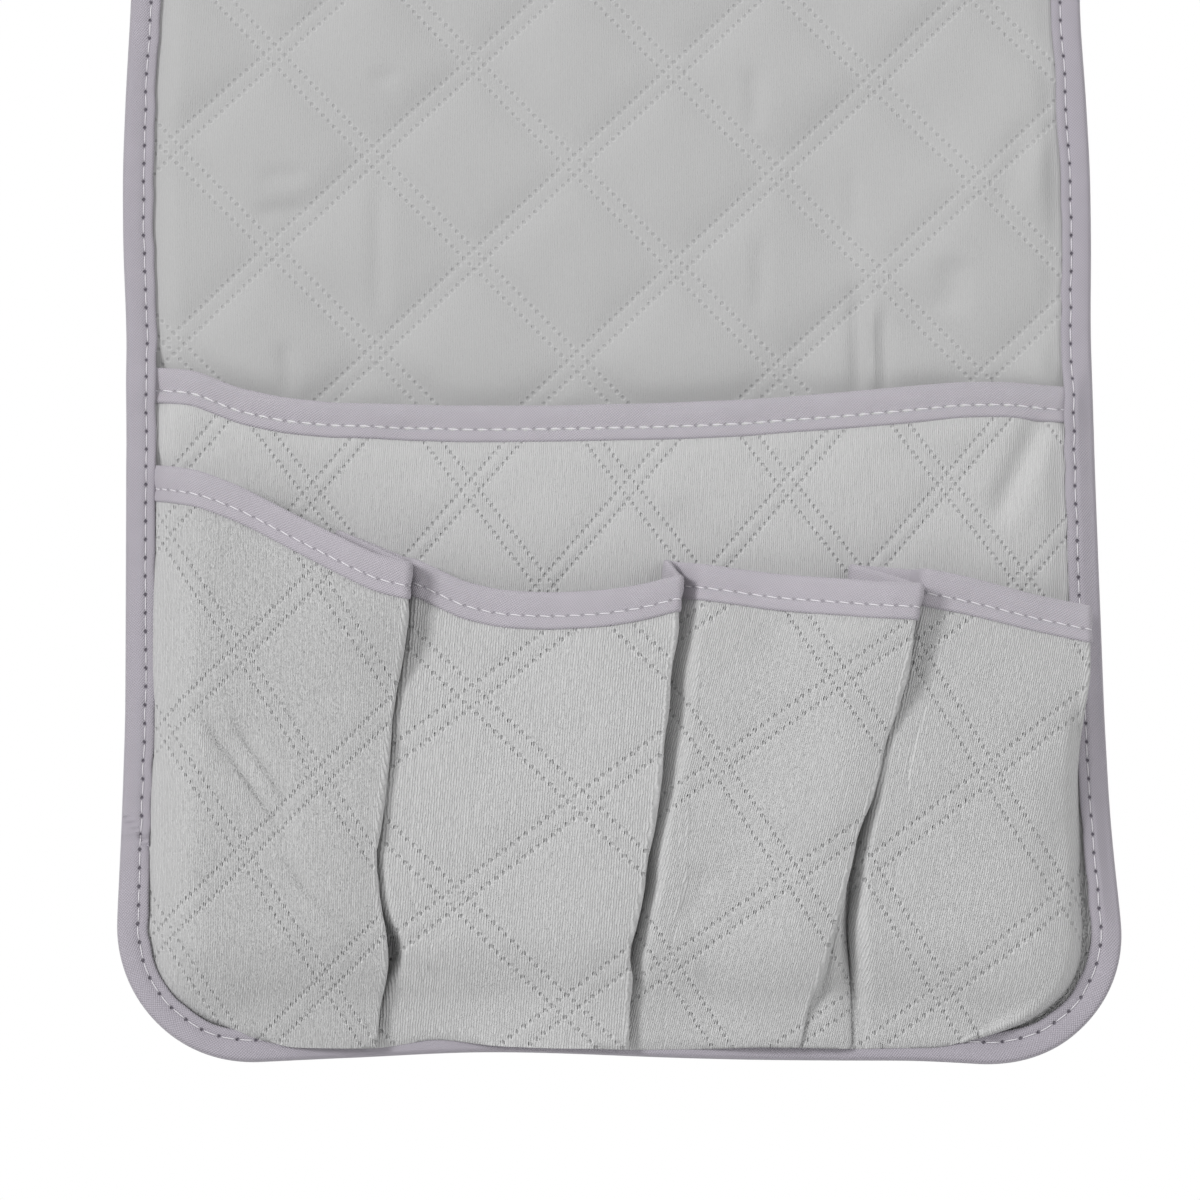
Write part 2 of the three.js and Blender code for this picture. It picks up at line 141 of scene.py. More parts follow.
def sheetFaces(rows, cols):  # two grids, face and back, closed by a rim
    index = np.arange(rows * cols).reshape(rows, cols)
    a, b, c, d = index[:-1, :-1], index[:-1, 1:], index[1:, 1:], index[1:, :-1]
    face = np.stack([a, b, c, d], -1).reshape(-1, 4)
    back = face[:, ::-1] + rows * cols
    ring = np.concatenate([index[0], index[1:, -1], index[-1, -2::-1], index[-2:0:-1, 0]])
    after = np.roll(ring, -1)
    rim = np.stack([after, ring, ring + rows * cols, after + rows * cols], -1)
    return np.concatenate([face, back, rim]).tolist()


def addSheet(name, face, back, uv, material):
    rows, cols = face.shape[:2]
    spots = np.concatenate([face.reshape(-1, 3), back.reshape(-1, 3)])
    both = np.concatenate([uv.reshape(-1, 2), uv.reshape(-1, 2)])
    return addPiece(name, spots, sheetFaces(rows, cols), both, material)


def tubeFaces(index):  # from ring to ring, with both ends closed
    a, b = index[:-1], np.roll(index, -1, 1)[:-1]
    c, d = np.roll(index, -1, 1)[1:], index[1:]
    faces = np.stack([a, b, c, d], -1).reshape(-1, 4).tolist()
    return faces + [index[0].tolist(), index[-1][::-1].tolist()]


def addSweep(name, rings, along, across, material):  # a closed profile carried along a path
    count, around = rings.shape[:2]
    index = np.arange(count * around).reshape(count, around)
    uv = np.stack(np.broadcast_arrays(along[:, None], np.array(across)[None]), -1)
    return addPiece(name, rings, tubeFaces(index), uv, material)


# materials, whose patterns lie on the cloth's own coordinates in millimetres
smooth = {"interpolation_type": "SMOOTHSTEP"}
waveUnit = math.pi / 10  # a wave texture of this scale has one band in each unit
weld = {
    "line": 38.6, "flat": 2.0,  # welded quilting: distance of the lines, half the flat strip along each
    # paintedRimHighlight lightens a ring round each dot: a painted highlight where the raised rim catches the
    # light
    "dot": 2.15, "radius": 0.48, "colour": "5c5b5e", "paintedRimHighlight": 0.12,
    # where each part of a dot begins and is full, in radii
    "rings": {"dimple": (1.7, 0.3), "mark": (1.0, 0.3), "outer": (2.1, 1.4), "inner": (1.25, 0.8)},
}


def clothMaterial(name):
    material = bpy.data.materials.new(name)
    add = emptyTree(material)
    return material, add, add("UVMap", uv_map="cloth")


def quiltedMicrofibre(name, look):
    # brushed polyester microfibre over wadding: matte, crinkled along the warp, welded dots in double rows,
    # each with a painted highlight on its rim
    material, add, uv = clothMaterial(name)
    place = add("SeparateXYZ", {0: uv})
    dots, lines = [], []
    for one, other in (("X", "Y"), ("Y", "X")):  # the two directions of weld lines
        half = weld["line"] / 2
        line = add("Math", {0: place.outputs[one], 1: half, 2: -half}, operation="WRAP")
        lines.append(add("Math", {0: line}, operation="ABSOLUTE"))
        row = add("Math", {0: lines[-1], 1: look["row"]}, operation="SUBTRACT")
        half = weld["dot"] / 2
        step = add("Math", {0: place.outputs[other], 1: half, 2: -half}, operation="WRAP")
        spot = add("CombineXYZ", {0: row, 1: step})
        dots.append(add("VectorMath", {0: spot}, operation="LENGTH").outputs["Value"])
    dot = add("Math", {0: dots[0], 1: dots[1]}, operation="MINIMUM")
    line = add("Math", {0: lines[0], 1: lines[1]}, operation="MINIMUM")
    ring = {}
    for part, (start, full) in weld["rings"].items():
        ring[part] = add("MapRange", {"Value": dot, "From Min": start * weld["radius"],
                         "From Max": full * weld["radius"]}, **smooth)
    ring["mark"].inputs["To Max"].default_value = look["mark"]
    # painted highlight: the ring round each dot, where its raised rim catches the light
    rim = add("Math", {0: ring["outer"], 1: ring["inner"]}, operation="SUBTRACT")
    # the cloth rises between the two rows of dots
    ridge = add("MapRange", {"Value": line, "From Min": look["row"], "From Max": 0.0}, **smooth)
    turned = add("Mapping", {"Vector": uv, "Rotation": (0, 0, math.radians(45))})
    warp = add("Mapping", {"Vector": turned, "Scale": look["grain"]})
    bands = add("TexWave", {"Vector": warp, "Scale": waveUnit, "Distortion": 3.0, "Detail": 1.0,
                "Detail Scale": 1.6}, bands_direction="X").outputs["Fac"]
    broken = add("TexNoise", {"Vector": warp, "Scale": 1.3, "Detail": 1.0}).outputs["Fac"]
    streak = add("Math", {0: bands, 1: broken}, operation="MULTIPLY")
    fuzz = add("TexNoise", {"Vector": uv, "Scale": 1 / 0.45, "Detail": 2.0}).outputs["Fac"]
    tone = add("Math", {0: streak, 1: look["streak"], 2: 1 - 0.25 * look["streak"]},
               operation="MULTIPLY_ADD")
    tone = add("Math", {0: rim, 1: weld["paintedRimHighlight"], 2: tone}, operation="MULTIPLY_ADD")
    shade = add("Mix", {"Factor": ring["mark"], 6: linearColour(look["colour"]),
                7: linearColour(weld["colour"])}, data_type="RGBA").outputs[2]
    scaled = add("VectorMath", {0: shade, "Scale": tone}, operation="SCALE")
    fine = add("Bump", {"Height": streak, "Distance": look["crinkle"] / 1000})
    nap = add("Bump", {"Height": fuzz, "Distance": 0.00012, "Normal": fine})
    raised = add("Bump", {"Height": ridge, "Distance": look["ridge"] / 1000, "Normal": nap})
    dent = add("Bump", {"Height": ring["dimple"], "Distance": look["dent"] / 1000,
               "Normal": raised}, invert=True)
    shader = add("BsdfPrincipled", {"Base Color": scaled, "Roughness": 0.8, "Normal": dent,
                 "Specular IOR Level": 0.35, "Sheen Weight": 0.12, "Sheen Roughness": 0.45})
    add("OutputMaterial", {"Surface": shader})
    return material


def biasTape(name, look):
    # woven polyester tape cut on the bias and folded: satin, with a diagonal weave, a row of needle holes,
    # and painted shade in the holes and along the seam
    material, add, uv = clothMaterial(name)
    place = add("SeparateXYZ", {0: uv})
    half, holeShade = look["pitch"] / 2, look["holeShade"]
    step = add("Math", {0: place.outputs["X"], 1: half, 2: -half}, operation="WRAP")
    across = add("Math", {0: place.outputs["Y"], 1: look["line"]}, operation="SUBTRACT")
    spot = add("CombineXYZ", {0: step, 1: across})
    away = add("VectorMath", {0: spot}, operation="LENGTH").outputs["Value"]
    # painted shade: the needle holes and a thin line along the seam are darkened for the shade that falls
    # into them
    hole = add("MapRange", {"Value": away, "From Min": 0.62, "From Max": 0.25, "To Max": holeShade}, **smooth)
    beside = add("Math", {0: across}, operation="ABSOLUTE")
    seam = add("MapRange", {"Value": beside, "From Min": 0.5, "From Max": 0.1,
               "To Max": 0.5 * holeShade}, **smooth)
    holeAndSeamShade = add("Math", {0: hole, 1: seam}, operation="MAXIMUM")
    turned = add("Mapping", {"Vector": uv, "Rotation": (0, 0, math.radians(38))})
    yarns = []
    for direction in ("X", "Y"):  # warp and weft, drawn 0.57 mm apart, coarser than life, so that they show
        yarn = add("TexWave", {"Vector": turned, "Scale": waveUnit / 0.57, "Distortion": 0.8, "Detail": 1.0,
                   "Detail Scale": 1.5}, bands_direction=direction)
        yarns.append(yarn.outputs["Fac"])
    weave = add("Math", {0: yarns[0], 1: yarns[1]}, operation="ADD")
    patch = add("TexNoise", {"Vector": uv, "Scale": 1 / 8.4, "Detail": 2.0}).outputs["Fac"]
    tone = add("Math", {0: weave, 1: 0.17, 2: 0.78}, operation="MULTIPLY_ADD")
    tone = add("Math", {0: patch, 1: 0.12, 2: tone}, operation="MULTIPLY_ADD")
    shade = add("Mix", {"Factor": holeAndSeamShade, 6: linearColour(look["colour"]),
                7: linearColour("4c4652")}, data_type="RGBA").outputs[2]
    scaled = add("VectorMath", {0: shade, "Scale": tone}, operation="SCALE")
    ribs = add("Bump", {"Height": weave, "Distance": 0.0001})
    dent = add("Bump", {"Height": hole, "Distance": 0.0003, "Normal": ribs}, invert=True)
    shader = add("BsdfPrincipled", {"Base Color": scaled, "Roughness": 0.5, "Normal": dent,
                 "Specular IOR Level": 0.4, "Sheen Weight": 0.15, "Sheen Roughness": 0.35})
    add("OutputMaterial", {"Surface": shader})
    return material


def gripLining(name, look):
    # plain woven polyester with small PVC dots printed on it: matte, with slightly glossy raised dots
    material, add, uv = clothMaterial(name)
    place = add("SeparateXYZ", {0: uv})
    half = look["pitch"] / 2
    across, along = [add("Math", {0: place.outputs[axis], 1: half, 2: -half}, operation="WRAP")
                     for axis in ("X", "Y")]
    spot = add("CombineXYZ", {0: across, 1: along})
    away = add("VectorMath", {0: spot}, operation="LENGTH").outputs["Value"]
    dot = add("MapRange", {"Value": away, "From Min": look["dot"], "From Max": look["crown"]}, **smooth)
    weave = add("TexWave", {"Vector": uv, "Scale": waveUnit / look["yarn"], "Distortion": 1.0},
                bands_direction="X").outputs["Fac"]
    shade = add("Mix", {"Factor": dot, 6: linearColour(look["colour"]),
                7: linearColour(look["dotColour"])}, data_type="RGBA").outputs[2]
    gloss = add("MapRange", {"Value": dot, "To Min": 0.85, "To Max": 0.4})
    ribs = add("Bump", {"Height": weave, "Distance": 0.00008})
    raised = add("Bump", {"Height": dot, "Distance": 0.0004, "Normal": ribs})
    shader = add("BsdfPrincipled", {"Base Color": shade, "Roughness": gloss,
                 "Specular IOR Level": 0.35, "Normal": raised})
    add("OutputMaterial", {"Surface": shader})
    return material


def spunThread(name, colour):
    # twisted polyester sewing thread: pale, with a soft shine and a fine twist, a turn every 0.35 mm
    material, add, uv = clothMaterial(name)
    twist = add("TexWave", {"Vector": uv, "Scale": waveUnit / 0.35, "Distortion": 0.3},
                bands_direction="DIAGONAL").outputs["Fac"]
    tone = add("Math", {0: twist, 1: 0.2, 2: 0.85}, operation="MULTIPLY_ADD")
    scaled = add("VectorMath", {0: linearColour(colour)[:3], "Scale": tone}, operation="SCALE")
    groove = add("Bump", {"Height": twist, "Distance": 0.00005})
    shader = add("BsdfPrincipled", {"Base Color": scaled, "Roughness": 0.45,
                 "Sheen Weight": 0.2, "Normal": groove})
    add("OutputMaterial", {"Surface": shader})
    return material


# grain is in lines per millimetre across and along the warp, coarser than life so that it shows;
# row is half the distance between two rows of dots, and the depths are in millimetres too
# one grey microfibre throughout: the three colours differ only for light, the pockets and the wide pocket
# painted lighter than the panel against the shade of their deep crinkle and of the pockets over the wide
# pocket
panelLook = {"colour": "b9b9b9", "row": 1.95, "mark": 0.15, "dent": 0.26, "ridge": 0.13,
             "grain": (1.6, 0.9, 1.0), "streak": 0.1, "crinkle": 0.08}
wideLook = {"colour": "c8c8c8", "row": 2.25, "mark": 0.2, "dent": 0.4, "ridge": 0.2,
            "grain": (1.45, 0.5, 1.0), "streak": 0.26, "crinkle": 0.2}
pocketLook = {"colour": "cdcdcd", "row": 2.25, "mark": 0.33, "dent": 0.44, "ridge": 0.2,
              "grain": (1.7, 0.95, 1.0), "streak": 0.48, "crinkle": 0.42}
# distance of the grip dots, radius of each at its foot and its crown, and yarns coarser than life
liningLook = {"colour": "a2a3a6", "dotColour": "6e6f74", "pitch": 7.0, "dot": 1.25, "crown": 0.8, "yarn": 0.8}
panelCloth = quiltedMicrofibre("quilted microfibre, panel", panelLook)
wideCloth = quiltedMicrofibre("quilted microfibre, wide pocket", wideLook)
pocketCloth = quiltedMicrofibre("quilted microfibre, pockets", pocketLook)
liningCloth = gripLining("woven lining with grip dots", liningLook)
paleThread = spunThread("spun polyester thread, mouths", "efecf1")
# the same thread as on the mouths, painted a little darker for the shade its recessed stitches lie in
edgeThread = spunThread("spun polyester thread, edge", "e4e1e6")
print("cloth and thread materials ready")


# the cloth and how it hangs: x runs across it, t up from the foot of an end, o outward from the arm
cloth = {
    "width": 270, "length": 870, "corner": 38, "inset": 0.8, "seamRoom": 0.3,
    "armWidth": 200, "armEdge": 30, "frontDrop": 350,
    "face": 3.3, "back": 0.9, "edgeFace": 2.9, "edgeBack": 1.7, "squeeze": (7.8, 14.5),
    "lining": 0.6, "edgeLining": 0.8, "liningGrid": 5.0,
    "puff": 1.9, "grid": 1.75, "footRows": [1.0, 1.6, 2.4, 3.4, 4.6, 6.0, 7.4, 8.8], "firstRow": 10.2,
    "rolls": [(1.2, 34, 3), (0.35, 13, 4)], "rollScale": 0.85, "creaseScale": 1.9,
    "spread": [(0, 1.010), (38, 1.010), (93, 0.996), (159, 0.991), (203, 0.990),
               (225, 0.996), (247, 0.997), (269, 0.991), (291, 0.982), (330, 0.978)],
    "shift": [(0, 1.4), (38, 1.4), (93, 0.8), (159, -0.3), (225, -1.4), (291, -2.0), (380, -0.6), (430, 0.0)],
    "tailSpread": 0.985,
    "cornerReach": (75, 122), "cornerRise": (15, 75), "liftAt": -34, "lift": 2.3, "liftRise": (0, 45),
    "pattern": [(-37.2, 221.9), (28.35, -29.0), (-28.3, -26.4)],
    # soft creases: x and t of both ends, width, depth
    "creases": [(41.9, 273, 41.9, 261, 2.4, 0.7), (-64, 239, -64.5, 211, 2.4, 0.5),
                (43, 225, 42.5, 209, 2.2, 0.5), (70, 208, 70.3, 183, 2.2, 1.1),
                (73.6, 206, 74, 183, 1.9, -0.7), (77, 203, 77.3, 183, 2.0, 0.9),
                (96.5, 219, 96, 209, 4.5, 0.8), (-95, 245, -86, 245.6, 2.0, 0.5),
                (-96, 235, -86, 236.5, 2.0, 0.6), (-65, 273, -60, 273, 2.0, 0.5),
                (69, 244, 69.5, 232, 2.2, 0.4), (-91, 196, -90, 186, 2.2, 0.6),
                (118, 256, 112, 240, 4, 0.6), (72, 214, 122, 258, 13, -0.9), (52, 262, 96, 300, 13, -0.6)],
}
halfWidth = cloth["width"] / 2
bendLength = (cloth["armEdge"] + cloth["face"] / 2) * math.pi / 2
topFlat = cloth["armWidth"] - 2 * cloth["armEdge"]
frontStraight = cloth["frontDrop"] - cloth["armEdge"]
tailStraight = cloth["length"] - frontStraight - topFlat - 2 * bendLength
ends = {"front": (-1, frontStraight), "tail": (1, tailStraight)}
spreadAt = softCurve(cloth["spread"], 14)
shiftAt = softCurve(cloth["shift"], 20)
spreadEnd, shiftEnd = cloth["spread"][-1][0], cloth["shift"][-1][0]


def topMiddle(end):
    return ends[end][1] + bendLength + topFlat / 2


def draped(end, x, t, o):  # place on the cloth in millimetres to metres in the frame
    side, straight = ends[end]
    past = t - straight
    turn = np.clip(past / bendLength, 0, 1) * math.pi / 2
    radius = cloth["armEdge"] + o
    y = cloth["armWidth"] / 2 - cloth["armEdge"] + radius * np.cos(turn) - np.maximum(past - bendLength, 0)
    z = -cloth["armEdge"] + radius * np.sin(turn) + np.minimum(past, 0)
    return np.stack([x + 0 * y, side * y, z + 0 * y], -1) * 0.001


def cornered(x, t):  # the lower corners are pulled out and the middle of the lower edge is lifted
    low = 1 - ease(t, *cloth["cornerRise"])
    right, left = ease(x, *cloth["cornerReach"]) * low, ease(-x, *cloth["cornerReach"]) * low
    width = np.where(x < cloth["liftAt"], 37, 48)
    lifted = cloth["lift"] * hump(x - cloth["liftAt"], width) * (1 - ease(t, *cloth["liftRise"]))
    return x + 2.0 * right - 0.5 * left, t - 2.0 * right - 1.1 * left + lifted


def swayed(end, x, t):  # the pocket end spreads a little towards its foot and hangs slightly askew
    if end == "tail":
        return x * cloth["tailSpread"], t
    pulledX, pulledT = cornered(x, t)
    top = ease(t, spreadEnd, topMiddle("front"))
    spread = mix(spreadAt(np.minimum(t, spreadEnd)), cloth["tailSpread"], top)
    return pulledX * spread + shiftAt(np.minimum(t, shiftEnd)), pulledT


def edgeAt(t, inset):  # half the width at a height, with the round corners
    below = np.maximum(cloth["corner"] - t, 0)
    radius = cloth["corner"] - inset
    return halfWidth - cloth["corner"] + np.sqrt(np.maximum(radius * radius - below * below, 0))


def insetAt(x, t):  # distance from the nearest edge
    beyond = np.abs(x) - (halfWidth - cloth["corner"])
    below = cloth["corner"] - t
    rounded = cloth["corner"] - np.hypot(np.maximum(beyond, 0), np.maximum(below, 0))
    return np.where((beyond > 0) & (below > 0), rounded, np.minimum(halfWidth - np.abs(x), t))


def patternOf(pattern, x, t):  # weld lines lie at whole multiples of weld["line"] in both values
    (ax, at), (rx, rt), (lx, lt) = pattern  # a crossing, and the steps to the next ones, right and left
    whole = rx * lt - rt * lx
    p = ((x - ax) * lt - (t - at) * lx) / whole
    q = (rx * (t - at) - rt * (x - ax)) / whole
    return np.stack([p, q], -1) * weld["line"]


def pillow(uv, run=4.5):  # the wadding swells between the weld lines
    half = weld["line"] / 2
    away = np.abs((uv + half) % weld["line"] - half)
    rise = 1 - np.exp(-np.maximum(away - weld["flat"], 0) / run)
    return rise[..., 0] * rise[..., 1]


def creased(creases, x, t):  # each crease fades out past both of its ends
    total = 0 * x
    for x0, t0, x1, t1, width, depth in creases:
        dx, dt = x1 - x0, t1 - t0
        k = np.clip(((x - x0) * dx + (t - t0) * dt) / (dx * dx + dt * dt), -0.4, 1.4)
        away = np.hypot(x - x0 - k * dx, t - t0 - k * dt)
        fade = ease(k, -0.4, 0.15) * (1 - ease(k, 0.85, 1.4))
        total = total - depth * fade * hump(away, width)
    return total


# wide pocket shape, needed by the cloth behind it
wide = {
    "bow": 6, "bowRise": 70, "thickness": 1.8, "edgeThickness": 0.9, "puff": 0.9, "room": 0.8,
    "inset": 3.6, "grid": 1.6, "drop": 168, "bottom": 1.6, "puffBelow": (9, 15), "mouthLift": 1.0,
    "mouth": [(-135, 189.6), (-125, 189.3), (-116, 188.3), (-104, 183.2), (-91.5, 180.3), (-78, 178.7),
              (-44, 177.8), (-16, 177.8), (12, 178.4), (38, 179.4), (63, 181.4), (98, 184.7), (111, 185.0),
              (125, 184.1), (135, 183.9)],
    "pattern": [(49.3, 157), (20.2, -26.5), (-24.0, -27.2)],
    "rolls": [(0.55, 30, 21), (0.3, 12, 22)],
    "creases": [(118.7, 172, 109, 152, 3.4, 3.2), (122.5, 168, 114, 150, 4.0, -0.5),
                (-112.7, 174, -105.8, 159, 2.2, 1.0), (-60, 172, -52, 160, 5, 0.6),
                (20, 150, 28, 140, 6, 0.7), (96, 165, 88, 150, 5, 0.5)],
    "tapeReach": 130, "tapeWaver": [(0.25, 30, 31)],
}
wideMouthAt = softCurve([(a, b + wide["mouthLift"]) for a, b in wide["mouth"]], 5)


def wideBackAt(x, t):
    tapeEdge = cloth["squeeze"][0]
    across = np.clip(np.abs(x) / (halfWidth - tapeEdge), 0, 1)
    bow = (1 - across ** 4) * ease(t, tapeEdge, wide["bowRise"])
    return cloth["face"] + cloth["seamRoom"] + wide["room"] + wide["bow"] * bow


def wideTopAt(x, t):
    return wideBackAt(x, t) + wide["thickness"] + wide["puff"]


# quilted cloth and lining, in two lengths that meet on top of the arm
nodesOf = {
    "front": {"quilt": ["front_quilt", "saddle_quilt"], "lining": ["front_lining", "saddle_lining"],
              "binding": ["front_binding", "saddle_binding_left", "saddle_binding_right"]},
    "tail": {"quilt": ["tail_quilt"], "lining": ["tail_lining"], "binding": ["tail_binding"]},
}


def clothColumns(step):
    count = int(2 * halfWidth / step) | 1
    return np.linspace(-1, 1, count)


def clothGrid(end, step):  # x and t over one length, and how far the edge tape lets it swell
    count = int((topMiddle(end) - cloth["firstRow"]) / step)
    t = np.concatenate([cloth["footRows"], np.linspace(cloth["firstRow"], topMiddle(end), count)])[:, None]
    x = clothColumns(step)[None, :] * edgeAt(t, cloth["inset"])
    t = t + 0 * x
    return x, t, ease(insetAt(x, t), *cloth["squeeze"])


def hangPiece(piece, nodes):
    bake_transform(piece)
    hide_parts(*nodes)


def clothAlong(end, t):  # distance from the pocket end, along the whole cloth
    return t if end == "front" else cloth["length"] - t


for end in ends:
    x, t, swell = clothGrid(end, cloth["grid"])
    uv = patternOf(cloth["pattern"], x, clothAlong(end, t))
    rolls, bare = rolling(x, clothAlong(end, t), cloth["rolls"]), 1.0
    if end == "front":  # it lies flat behind the wide pocket
        bare = ease(t, wideMouthAt(x) - 4, wideMouthAt(x) + 8)
        rolls = rolls + cloth["creaseScale"] * creased(cloth["creases"], x, t)
    face = cloth["face"] + bare * (cloth["puff"] * pillow(uv) + cloth["rollScale"] * rolls)
    face = mix(cloth["edgeFace"], face, swell)
    back = mix(cloth["edgeBack"], cloth["back"], swell)
    sx, st = swayed(end, x, t)
    quilt = addSheet(end + "Quilt", draped(end, sx, st, face), draped(end, sx, st, back), uv, panelCloth)
    hangPiece(quilt, nodesOf[end]["quilt"])

    x, t, swell = clothGrid(end, cloth["liningGrid"])
    sx, st = swayed(end, x, t)
    under = mix(cloth["edgeLining"], 0.0, swell)
    uv = np.stack([x, clothAlong(end, t)], -1)
    lining = addSheet(end + "Lining", draped(end, sx, st, under + cloth["lining"]),
                      draped(end, sx, st, under), uv, liningCloth)
    hangPiece(lining, nodesOf[end]["lining"])
print("quilted cloth and lining made")


# stitches, each a short capsule whose ends dip into the cloth
stitch = {"share": np.array([-1, -0.82, -0.45, 0, 0.45, 0.82, 1]),
          "swell": np.array([0.25, 0.75, 1, 1, 1, 0.75, 0.25]), "sides": 6, "dip": 1.2}


def stitchRun(path, pitch):  # distance along a seam in millimetres, with a whole number of stitches in it
    run = runAlong(path) * 1000
    return run * (int(run[-1] / pitch) * pitch / run[-1])


def addStitches(name, path, normals, seam, lift, material):  # path in metres, the rest in millimetres
    pitch, length, radius, lean = [seam[k] / 1000 for k in ("pitch", "length", "thread", "lean")]
    share, swell, sides = stitch["share"], stitch["swell"], stitch["sides"]
    run = runAlong(path)
    count = int(run[-1] / pitch)
    centres = (np.arange(count) + 0.5) * run[-1] / count
    pick = lambda rows, s: np.stack([np.interp(s, run, rows[:, k]) for k in range(3)], -1)
    ring = np.arange(sides) * 2 * math.pi / sides
    index = np.arange(len(share) * sides).reshape(len(share), sides)
    flat = np.stack(np.broadcast_arrays((share * length * 500)[:, None], ring[None] * radius * 1000), -1)
    rise = lift / 1000 * (1 - share ** 4) - stitch["dip"] * radius * share ** 4
    spots, faces = [], []
    for k, centre in enumerate(centres):
        along = pick(path, centre + share * length / 2)
        up = pick(normals, centre + share * length / 2)
        up /= np.linalg.norm(up, axis=1)[:, None]
        ahead = np.gradient(along, axis=0)
        ahead /= np.linalg.norm(ahead, axis=1)[:, None]
        side = np.cross(ahead, up)
        middle = along + up * rise[:, None] + side * (lean * share)[:, None]
        around = np.cos(ring)[None, :, None] * side[:, None] + np.sin(ring)[None, :, None] * up[:, None]
        spots.append((middle[:, None] + swell[:, None, None] * radius * around).reshape(-1, 3))
        faces += tubeFaces(index + k * index.size)
    return addPiece(name, np.concatenate(spots), faces, np.tile(flat.reshape(-1, 2), (count, 1)), material)


# edge binding: tape folded round the cloth's edge
binding = {
    # holeShade sets the dent of the needle holes and how dark their painted shade and that of the seam line
    # are
    "colour": "b0abb4", "holeShade": 0.9, "grid": 1.7, "room": 0.25, "height": 0.95, "innerRoom": 0.2,
    "line": 5.1, "pitch": 5.1, "length": 4.4, "thread": 0.2, "lift": 0.17, "underLift": 0.06, "lean": 0.0,
    "pucker": 0.16, "puckerWidth": 1.1, "grooveWidth": 0.3,
    # the tape's own diagonal join: where it lies, its slope and height, and the fine rows there
    "splice": (67, 1.17, 0.6), "spliceRows": (57.1, 69, 0.31),
    # the layers under it, and the share by which its outer edge drops to the arm, right and left
    "wideRoom": 2.4, "tapeRoom": 1.0, "stripTop": {-1: 163, 1: 122}, "stripRoom": 1.7, "footRoom": 0.6,
    "fall": (0.85, 0.25),
    "waver": {"front": [(0.24, 24, 11), (0.22, 5, 13)], "tail": [(0.24, 24, 12), (0.22, 5, 13)]},
    # profile from the inner edge of the face, round the cloth's edge, along the back and through the inside
    "face": [(7.75, 0.10), (7.72, 0.78), (7.1, 1.02), (5.75, 0.90), (5.1, 0.40), (4.45, 0.80), (3.4, 1.0),
             (1.9, 1.02), (0.6, 0.92), (-0.25, 0.62)],  # inset, share of the height
    "edge": [(-0.78, 0.72), (-0.78, 0.28), (-0.3, 0.02)],  # inset, share of the layers
    "back": [(1.5, -0.02), (5.1, 0.12), (6.4, 0.0), (7.4, 0.15), (7.4, 0.55), (0.3, 0.6)],  # inset, o
    "inside": [0.3, 7.3],
}
seamPoint = 4  # the point of the profiles of both tapes that lies on the seam
edgeTape = biasTape("bias-cut polyester tape, edge", binding)


def bindingPath(end, step):  # x and t along the edge, and the direction inward
    straight = np.arange(topMiddle(end), cloth["corner"] + 0.5, -step)
    straight = np.linspace(topMiddle(end), cloth["corner"], len(straight))
    lapped = straight
    if end == "front":
        lapped = np.sort(np.concatenate([straight, np.arange(*binding["spliceRows"])]))[::-1]
    cx, r = halfWidth - cloth["corner"], cloth["corner"]
    turn = np.linspace(0, math.pi / 2, int(r * math.pi / 2 / step))
    back = turn[::-1]
    foot = np.linspace(-cx, cx, int(2 * cx / step))
    rows = [np.stack([0 * lapped - halfWidth, lapped, 0 * lapped + 1, 0 * lapped], -1)]
    rows += [np.stack([-cx - r * np.cos(turn), r - r * np.sin(turn), np.cos(turn), np.sin(turn)], -1)[1:]]
    rows += [np.stack([foot, 0 * foot, 0 * foot, 0 * foot + 1], -1)[1:]]
    rows += [np.stack([cx + r * np.cos(back), r - r * np.sin(back), -np.cos(back), np.sin(back)], -1)[1:]]
    rows += [np.stack([0 * straight + halfWidth, straight[::-1], 0 * straight - 1, 0 * straight], -1)[1:]]
    return np.concatenate(rows)


def bindingBase(end, x, t):  # height of the layers that the binding holds
    if end == "tail":
        return cloth["edgeFace"] + 0 * x
    side = np.sign(x)
    mouth = np.where(side < 0, wide["mouth"][0][1], wide["mouth"][-1][1])
    strip = np.where(side < 0, binding["stripTop"][-1], binding["stripTop"][1])
    level = cloth["edgeFace"] + binding["wideRoom"] * (1 - ease(t, mouth - 1, mouth + 10))
    level = level + binding["tapeRoom"] * hump(t - mouth + 4, 6)
    level = level + binding["stripRoom"] * (1 - ease(t, strip - 1, strip + 7))
    return level + binding["footRoom"] * (1 - ease(t, 2, 26))


def spliceAt(x, t, inset):  # the end of the tape lies over its start, on the left side only
    at, slope, height = binding["splice"]
    gap = np.where(x < -halfWidth + 0.1, t - (at - slope * inset), -50.0)
    lap = height * ease(gap, -0.15, 0.15) * (1 - ease(gap, 1, 9)) - 0.7 * hump(gap + 0.55, 0.45)
    return lap * np.clip(inset + 0.3, 0, 1)


